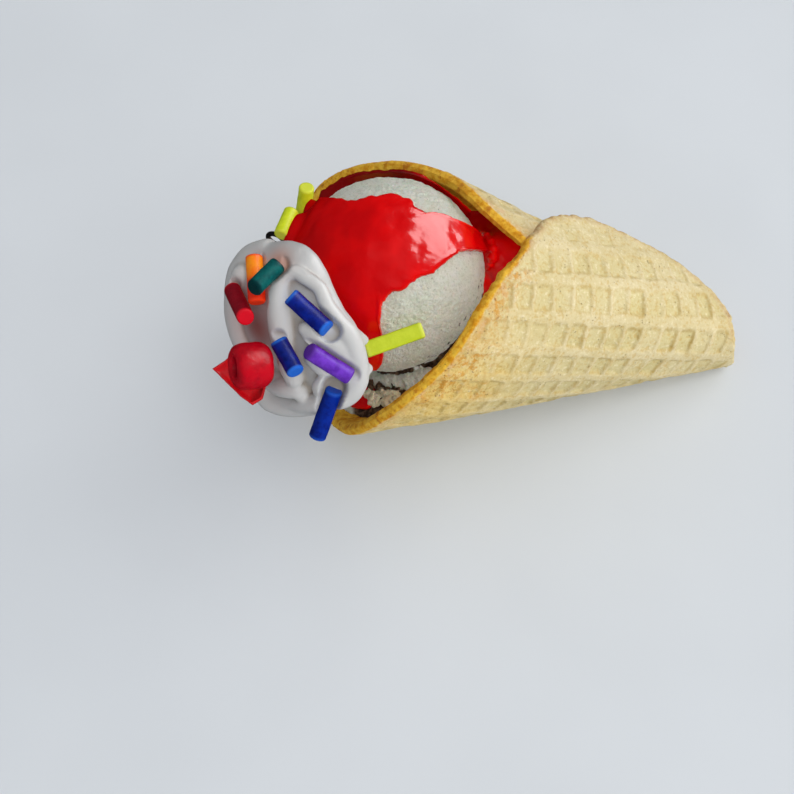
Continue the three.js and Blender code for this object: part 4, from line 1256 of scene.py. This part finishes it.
def rod_material(name, light, dark, tip):
    s = Shader(name + "_clay", Roughness=0.4, Specular_IOR_Level=0.2)
    colour = s.blend(s.patches(1.6, 3, 0.3, 0.75, 0.6), light, dark)
    if name == "rod_orange":
        colour = s.blend(s.step(s.read("along"), 0.35, 0.62), colour, (240, 44, 12))
    colour = s.layered(colour, (0.85, tip, s.read("tip")))
    return s.finish(colour, s.noise(0.5, 3), 0.06)


# ---------------- wire eye
EYE_FOOT = SCOOP_R - EYE_SUNK + 1  # from the scoop's centre
EYE_SIDES = 20
THREAD_PITCH = 0.7
THREAD_DEPTH = 0.09  # of the wire's radius
THREAD_LENGTH = 2.8  # how far past the scoop the thread reaches


def make_wire_eye():
    out = unit(face_direction(*EYE_TOWARDS))
    across = unit(np.cross(out, FACE_X))
    axis = np.cross(out, across)
    centre = SCOOP_CENTRE + out * (SCOOP_R + EYE_STANDS + EYE_RING_R)
    rings = [centre + away * EYE_RING_R + EYE_WIRE_R * circle(away, axis, EYE_SIDES)
             for away in circle(out, across, 48)]
    shape = Shape()
    rows = shape.add(rings)
    shape.band(rows + rows[:1])
    # the threaded shank
    around = np.linspace(0, 2 * math.pi, EYE_SIDES, endpoint=False)
    shank = []
    for reach in np.linspace(EYE_FOOT, SCOOP_R + EYE_STANDS + 0.2, 90):
        thread = np.sin(2 * math.pi * reach / THREAD_PITCH + around) * (reach < SCOOP_R + THREAD_LENGTH)
        radius = EYE_WIRE_R * (1 + THREAD_DEPTH * thread)
        shank.append(SCOOP_CENTRE + out * reach + radius[:, None] * circle(across, axis, EYE_SIDES))
    shape.tube(shank)
    obj = shape.make("wire_eye_visual")
    s = Shader("dark wire", Metallic=0.9, Roughness=0.34)
    colour = s.blend(s.patches(1.0, 3, 0.4, 0.65), (96, 94, 92), (58, 54, 52))
    dress(obj, s.finish(colour, s.noise(0.6, 3), 0.03), "wire", "wire_eye")


# ---------------- camera, light and floor
CAMERA_AWAY = 330.0
CAMERA_RISE = 62 * DEG
LENS = 59.85
FLOOR_HALF = 1500.0
WINDOW = (0.708, 0.398, 0.585)
WINDOW_COLOUR = (1.0, 0.99, 0.97)
# name, direction, distance and width in millimetres, and power
LIGHTS = [
    ("window", WINDOW, 2000, 1600, 10.0),
    ("gleam", WINDOW, 1990, 1600, 48.0),
    ("sky", (0.38, 0.0, 0.92), 2200, 2200, 4.0),
    ("fill", (0.1, -0.3, 0.95), 2200, 1500, 9.0),
    ("side", (0.74, -0.5, 0.45), 2000, 1400, 22.0),
]
WORLD_COLOUR = (0.93, 0.96, 1.0, 1.0)
WORLD_STRENGTH = 0.46


def make_stage():
    ground = -SHIFT[2]  # the row's floor in the construction frame
    corners = [(-1, -1), (1, -1), (1, 1), (-1, 1)]
    places = [(x * FLOOR_HALF, y * FLOOR_HALF, ground) for x, y in corners]
    floor = new_object("floor", places, [(0, 1, 2, 3)])
    s = Shader("floor", Roughness=0.9, Specular_IOR_Level=0.1)
    colour = s.blend(s.patches(60, 2, 0.3, 0.7), (213, 217, 221), (210, 214, 218))
    floor.data.materials.append(s.finish(colour, s.noise(0.8, 2), 0.01))
    floor.visible_glossy = False


def place(name, data, direction, away):
    """An object at that distance from the origin, which looks at it."""
    obj = bpy.data.objects.new(name, data)
    bpy.context.scene.collection.objects.link(obj)
    spot = direction * away
    obj.location = ((spot + SHIFT) * MM).tolist()
    obj.rotation_mode = "QUATERNION"
    obj.rotation_quaternion = Vector((-spot).tolist()).to_track_quat("-Z", "Y")
    return obj


def make_camera():
    data = bpy.data.cameras.new("camera")
    data.lens = LENS
    data.clip_start = 0.01
    back = np.array([0.0, -math.cos(CAMERA_RISE), math.sin(CAMERA_RISE)])
    bpy.context.scene.camera = place("camera", data, back, CAMERA_AWAY)


def make_lights():
    lights = {}
    for name, direction, away, width, power in LIGHTS:
        data = bpy.data.lights.new(name, "AREA")
        data.shape = "SQUARE"
        data.size = width * MM
        data.energy = power
        lights[name] = place(name, data, unit(np.array(direction)), away)
    lights["window"].data.color = WINDOW_COLOUR
    lights["gleam"].visible_diffuse = False
    for name in ("sky", "fill", "side"):
        lights[name].visible_glossy = False
    lights["side"].data.use_shadow = False
    world = bpy.data.worlds.new("studio")
    world.use_nodes = True
    background = world.node_tree.nodes["Background"]
    background.inputs["Color"].default_value = WORLD_COLOUR
    background.inputs["Strength"].default_value = WORLD_STRENGTH
    world.cycles_visibility.glossy = False
    bpy.context.scene.world = world
    bpy.context.scene.view_settings.view_transform = "Standard"


make_stage()
make_camera()
make_lights()
make_waffle()
make_scoop()
make_sauce()
make_cream()
make_cherry()
make_scrap()
for number, rod_name in enumerate(RODS):
    make_rod(rod_name, number)
make_wire_eye()
